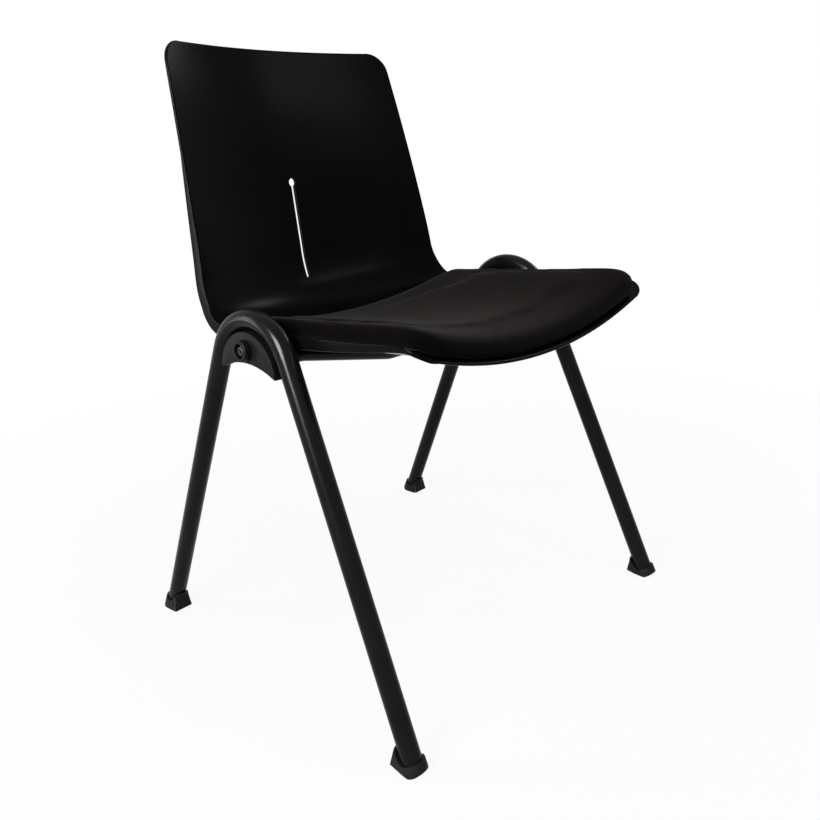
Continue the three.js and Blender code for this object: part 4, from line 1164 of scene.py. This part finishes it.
def groove_cutter(hand):
    """A horseshoe bar between the raised face's wall and the tube's axis."""
    points, bar_top = [], PLATE_LEDGE + BAR_ABOVE
    for k in range(GROOVE_STEPS + 1):
        a = -GROOVE_OVERRUN + (math.pi + 2 * GROOVE_OVERRUN) * k / GROOVE_STEPS
        wall, axis = ((BOLT_Y + r * math.cos(a), centre + r * math.sin(a)) for r, centre in (
            (FACE_RADIUS + WALL_CLEAR, FACE_CENTRE), (LOOP_RADIUS, loop_z)))
        points += [(GROOVE_FLOOR, *wall), (GROOVE_FLOOR, *axis), (bar_top, *axis), (bar_top, *wall)]
    faces = ring_faces(GROOVE_STEPS + 1, 4) + end_caps(len(points), 4)
    return new_piece("groove_cutter", on_frame(points, hand), faces)


for side_name, hand in HANDS.items():
    plate = copy_of(f"infill_plate_{side_name}", f"side_plate_{side_name}")
    cut_with(plate, groove_cutter(hand))
    put_on(plate, "side_plastic", f"side_plate_{side_name}")
    round_edges(plate, PLATE_ROUND)
    print(plate.name, "faces:", len(plate.data.polygons))

# %% [markdown]
# The bosses and their bolts
#
# A round boss stands on each plate's face. A socket-head bolt on its washer sits in the boss's recess,
# which is wider in the photograph than on the solid. So these pieces are turned anew instead of being
# copied. Each profile is a short list of rows, with quarter circles at the corners that catch the light.

# %% Turn the bosses, washers and bolts
BOSS_RADIUS, BOSS_BASE, BOSS_FACE, RECESS_RADIUS, RECESS_FLOOR = 13.0, 12.8, 21.8, 9.0, 14.8
BOLT_HOLE, BOLT_RADIUS, BOLT_TIP = 3.3, 3.0, -18.6
WASHER_RADIUS, WASHER_BASE, WASHER_TOP = 6.4, 15.1, 16.3
HEAD_RADIUS, HEAD_BASE, HEAD_TOP, SOCKET_RADIUS, SOCKET_FLOOR = 5.2, 16.6, 19.9, 2.7, 17.9
# Roundings of the boss at its base, face and recess, of the washer, and of the head below and on top
BASE_ROUND, FACE_ROUND, RECESS_ROUND, WASHER_ROUND, HEAD_ROUND, CAP_ROUND = 0.4, 1.4, 0.6, 0.3, 0.2, 0.7
TIP_CHAMFER, SOCKET_CHAMFER = 0.6, 0.25

recess_corner = corner_rows(RECESS_RADIUS + 2 * RECESS_ROUND, BOSS_FACE, RECESS_ROUND, 1)
boss_rows = [(BOLT_HOLE, BOSS_BASE, False), *corner_rows(BOSS_RADIUS, BOSS_BASE, BASE_ROUND, -1),
             *corner_rows(BOSS_RADIUS, BOSS_FACE, FACE_ROUND, 1),
             *[(2 * (RECESS_RADIUS + RECESS_ROUND) - r, out, False) for r, out, _ in recess_corner[::-1]],
             (RECESS_RADIUS, RECESS_FLOOR, False), (BOLT_HOLE, RECESS_FLOOR, False)]
washer_rows = [(BOLT_HOLE, WASHER_BASE, False),
               *corner_rows(WASHER_RADIUS, WASHER_BASE, WASHER_ROUND, -1, 3),
               *corner_rows(WASHER_RADIUS, WASHER_TOP, WASHER_ROUND, 1, 3), (BOLT_HOLE, WASHER_TOP, False)]
bolt_rows = [(BOLT_RADIUS - TIP_CHAMFER, BOLT_TIP, False), (BOLT_RADIUS, BOLT_TIP + TIP_CHAMFER, False),
             (BOLT_RADIUS, HEAD_BASE, False), *corner_rows(HEAD_RADIUS, HEAD_BASE, HEAD_ROUND, -1, 2),
             *corner_rows(HEAD_RADIUS, HEAD_TOP, CAP_ROUND, 1),
             (SOCKET_RADIUS + SOCKET_CHAMFER, HEAD_TOP, True),
             (SOCKET_RADIUS, HEAD_TOP - SOCKET_CHAMFER, True), (SOCKET_RADIUS, SOCKET_FLOOR, True)]
# What is turned, the solid it stands for, its rows, its finish, and whether it is a ring
TURNED = [("bolt_boss", "side_boss", boss_rows, "side_plastic", True),
          ("boss_washer", "bolt_washer", washer_rows, "zinc_steel", True),
          ("loop_bolt", "frame_bolt", bolt_rows, "black_steel", False)]

for side_name, hand in HANDS.items():
    for piece_name, node_name, rows, slot_name, is_ring in TURNED:
        turned = lathed(f"{piece_name}_{side_name}", rows, hand, is_ring)
        put_on(turned, slot_name, f"{node_name}_{side_name}")
print("boss, washer and bolt rows:", len(boss_rows), len(washer_rows), len(bolt_rows))

# %% [markdown]
# The frame under the seat
#
# Two thin tubes cross under the seat. Each drops from the side plates to pass under the dish, with two
# bends on each side. Their ends and their lowest line are read from the frame's own boxes, and one sweep
# makes each.

# %% Sweep the cross tubes
CROSS_RADIUS, CROSS_BEND_RADIUS, CROSS_BEND_IN, CROSS_BEND_INSET = 8.0, 60.0, 66.0, 19.0
CROSS_SIDES, CROSS_STEPS = 40, 10

for end_name in ("front", "rear"):
    low, high = (np.array(corner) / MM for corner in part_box(f"cross_tube_{end_name}"))
    y, bottom, top = (low[1] + high[1]) / 2, low[2] + CROSS_RADIUS, high[2] - CROSS_RADIUS
    half_path = [(high[0], top), (SEAT_HALF - CROSS_BEND_INSET, top), (CROSS_BEND_IN, bottom)]
    corners = [(-x, y, z) for x, z in half_path] + [(x, y, z) for x, z in half_path[::-1]]
    cross = swept_tube(f"seat_tube_{end_name}", fillet_path(corners, CROSS_BEND_RADIUS, CROSS_STEPS),
                       CROSS_RADIUS, CROSS_SIDES)
    put_on(cross, "frame_paint", f"cross_tube_{end_name}")
    print(cross.name, "faces:", len(cross.data.polygons))

# %% [markdown]
# Feet, arms and end plates
#
# The feet are moulded cups with soft edges, and the arms and end plates are cut from flat bar and dulled
# at their edges. Each gets a copy of its solid, with the rounding that its making would leave. The
# photograph shows the cups' heels a little lower than the solids have them, so a level cut takes the
# heels' tips off.

# %% Round the feet, arms and end plates
# What the copy is called, the solid it stands for, its finish and its rounding in millimetres
ROUNDED = [(f"leg_cup_{end}_{side}", f"foot_{end}_{side}", "foot_plastic", 1.3)
           for end in ("front", "rear") for side in HANDS]
ROUNDED += [(f"shell_arm_{end}_{side}", f"support_arm_{end}_{side}", "frame_paint", 0.6)
            for end in ("front", "rear") for side in HANDS]
ROUNDED += [(f"end_plate_{side}", f"frame_lug_{side}", "frame_paint", 0.5) for side in HANDS]
# How much lower the cups' heels end than on the solids, in millimetres
HEEL_CUTS = {"foot_front": 7.5, "foot_rear": 4.0}


def cut_level(obj, drop):
    """Takes a height off a piece's top and closes the cut."""
    shape = bmesh.new()
    shape.from_mesh(obj.data)
    level = max(v.co.z for v in shape.verts) - drop * MM
    cut = bmesh.ops.bisect_plane(shape, geom=[*shape.verts, *shape.edges, *shape.faces],
                                 plane_co=(0, 0, level), plane_no=(0, 0, 1), clear_outer=True)
    edges = [item for item in cut["geom_cut"] if isinstance(item, bmesh.types.BMEdge)]
    bmesh.ops.edgeloop_fill(shape, edges=edges)
    shape.to_mesh(obj.data)
    shape.free()


for piece_name, node_name, slot_name, width in ROUNDED:
    piece = copy_of(piece_name, node_name)
    for start, drop in HEEL_CUTS.items():
        if node_name.startswith(start):
            cut_level(piece, drop)
    put_on(piece, slot_name, node_name)
    round_edges(piece, width)
print("rounded copies:", len(ROUNDED))

# %% [markdown]
# Carried solids
#
# The board, its nuts, the weld nuts and the screws are hidden or very small, and new meshes would show
# nothing more. Their solids stay, and get smooth shading and the finish that the record names.

# %% Finish the carried solids
CARRIED_ANGLE = math.radians(30)
slot_of = {row["node"]: row["material_slot"] for row in frame["record"]["subparts"]}
carried = {name: node for name, node in frame["nodes"].items() if not node.hide_render}

for node_name, node in carried.items():
    node.data.materials.clear()
    node.data.materials.append(MATERIALS[slot_of[node_name]])
    smooth(node, CARRIED_ANGLE)
print("carried solids:", len(carried))
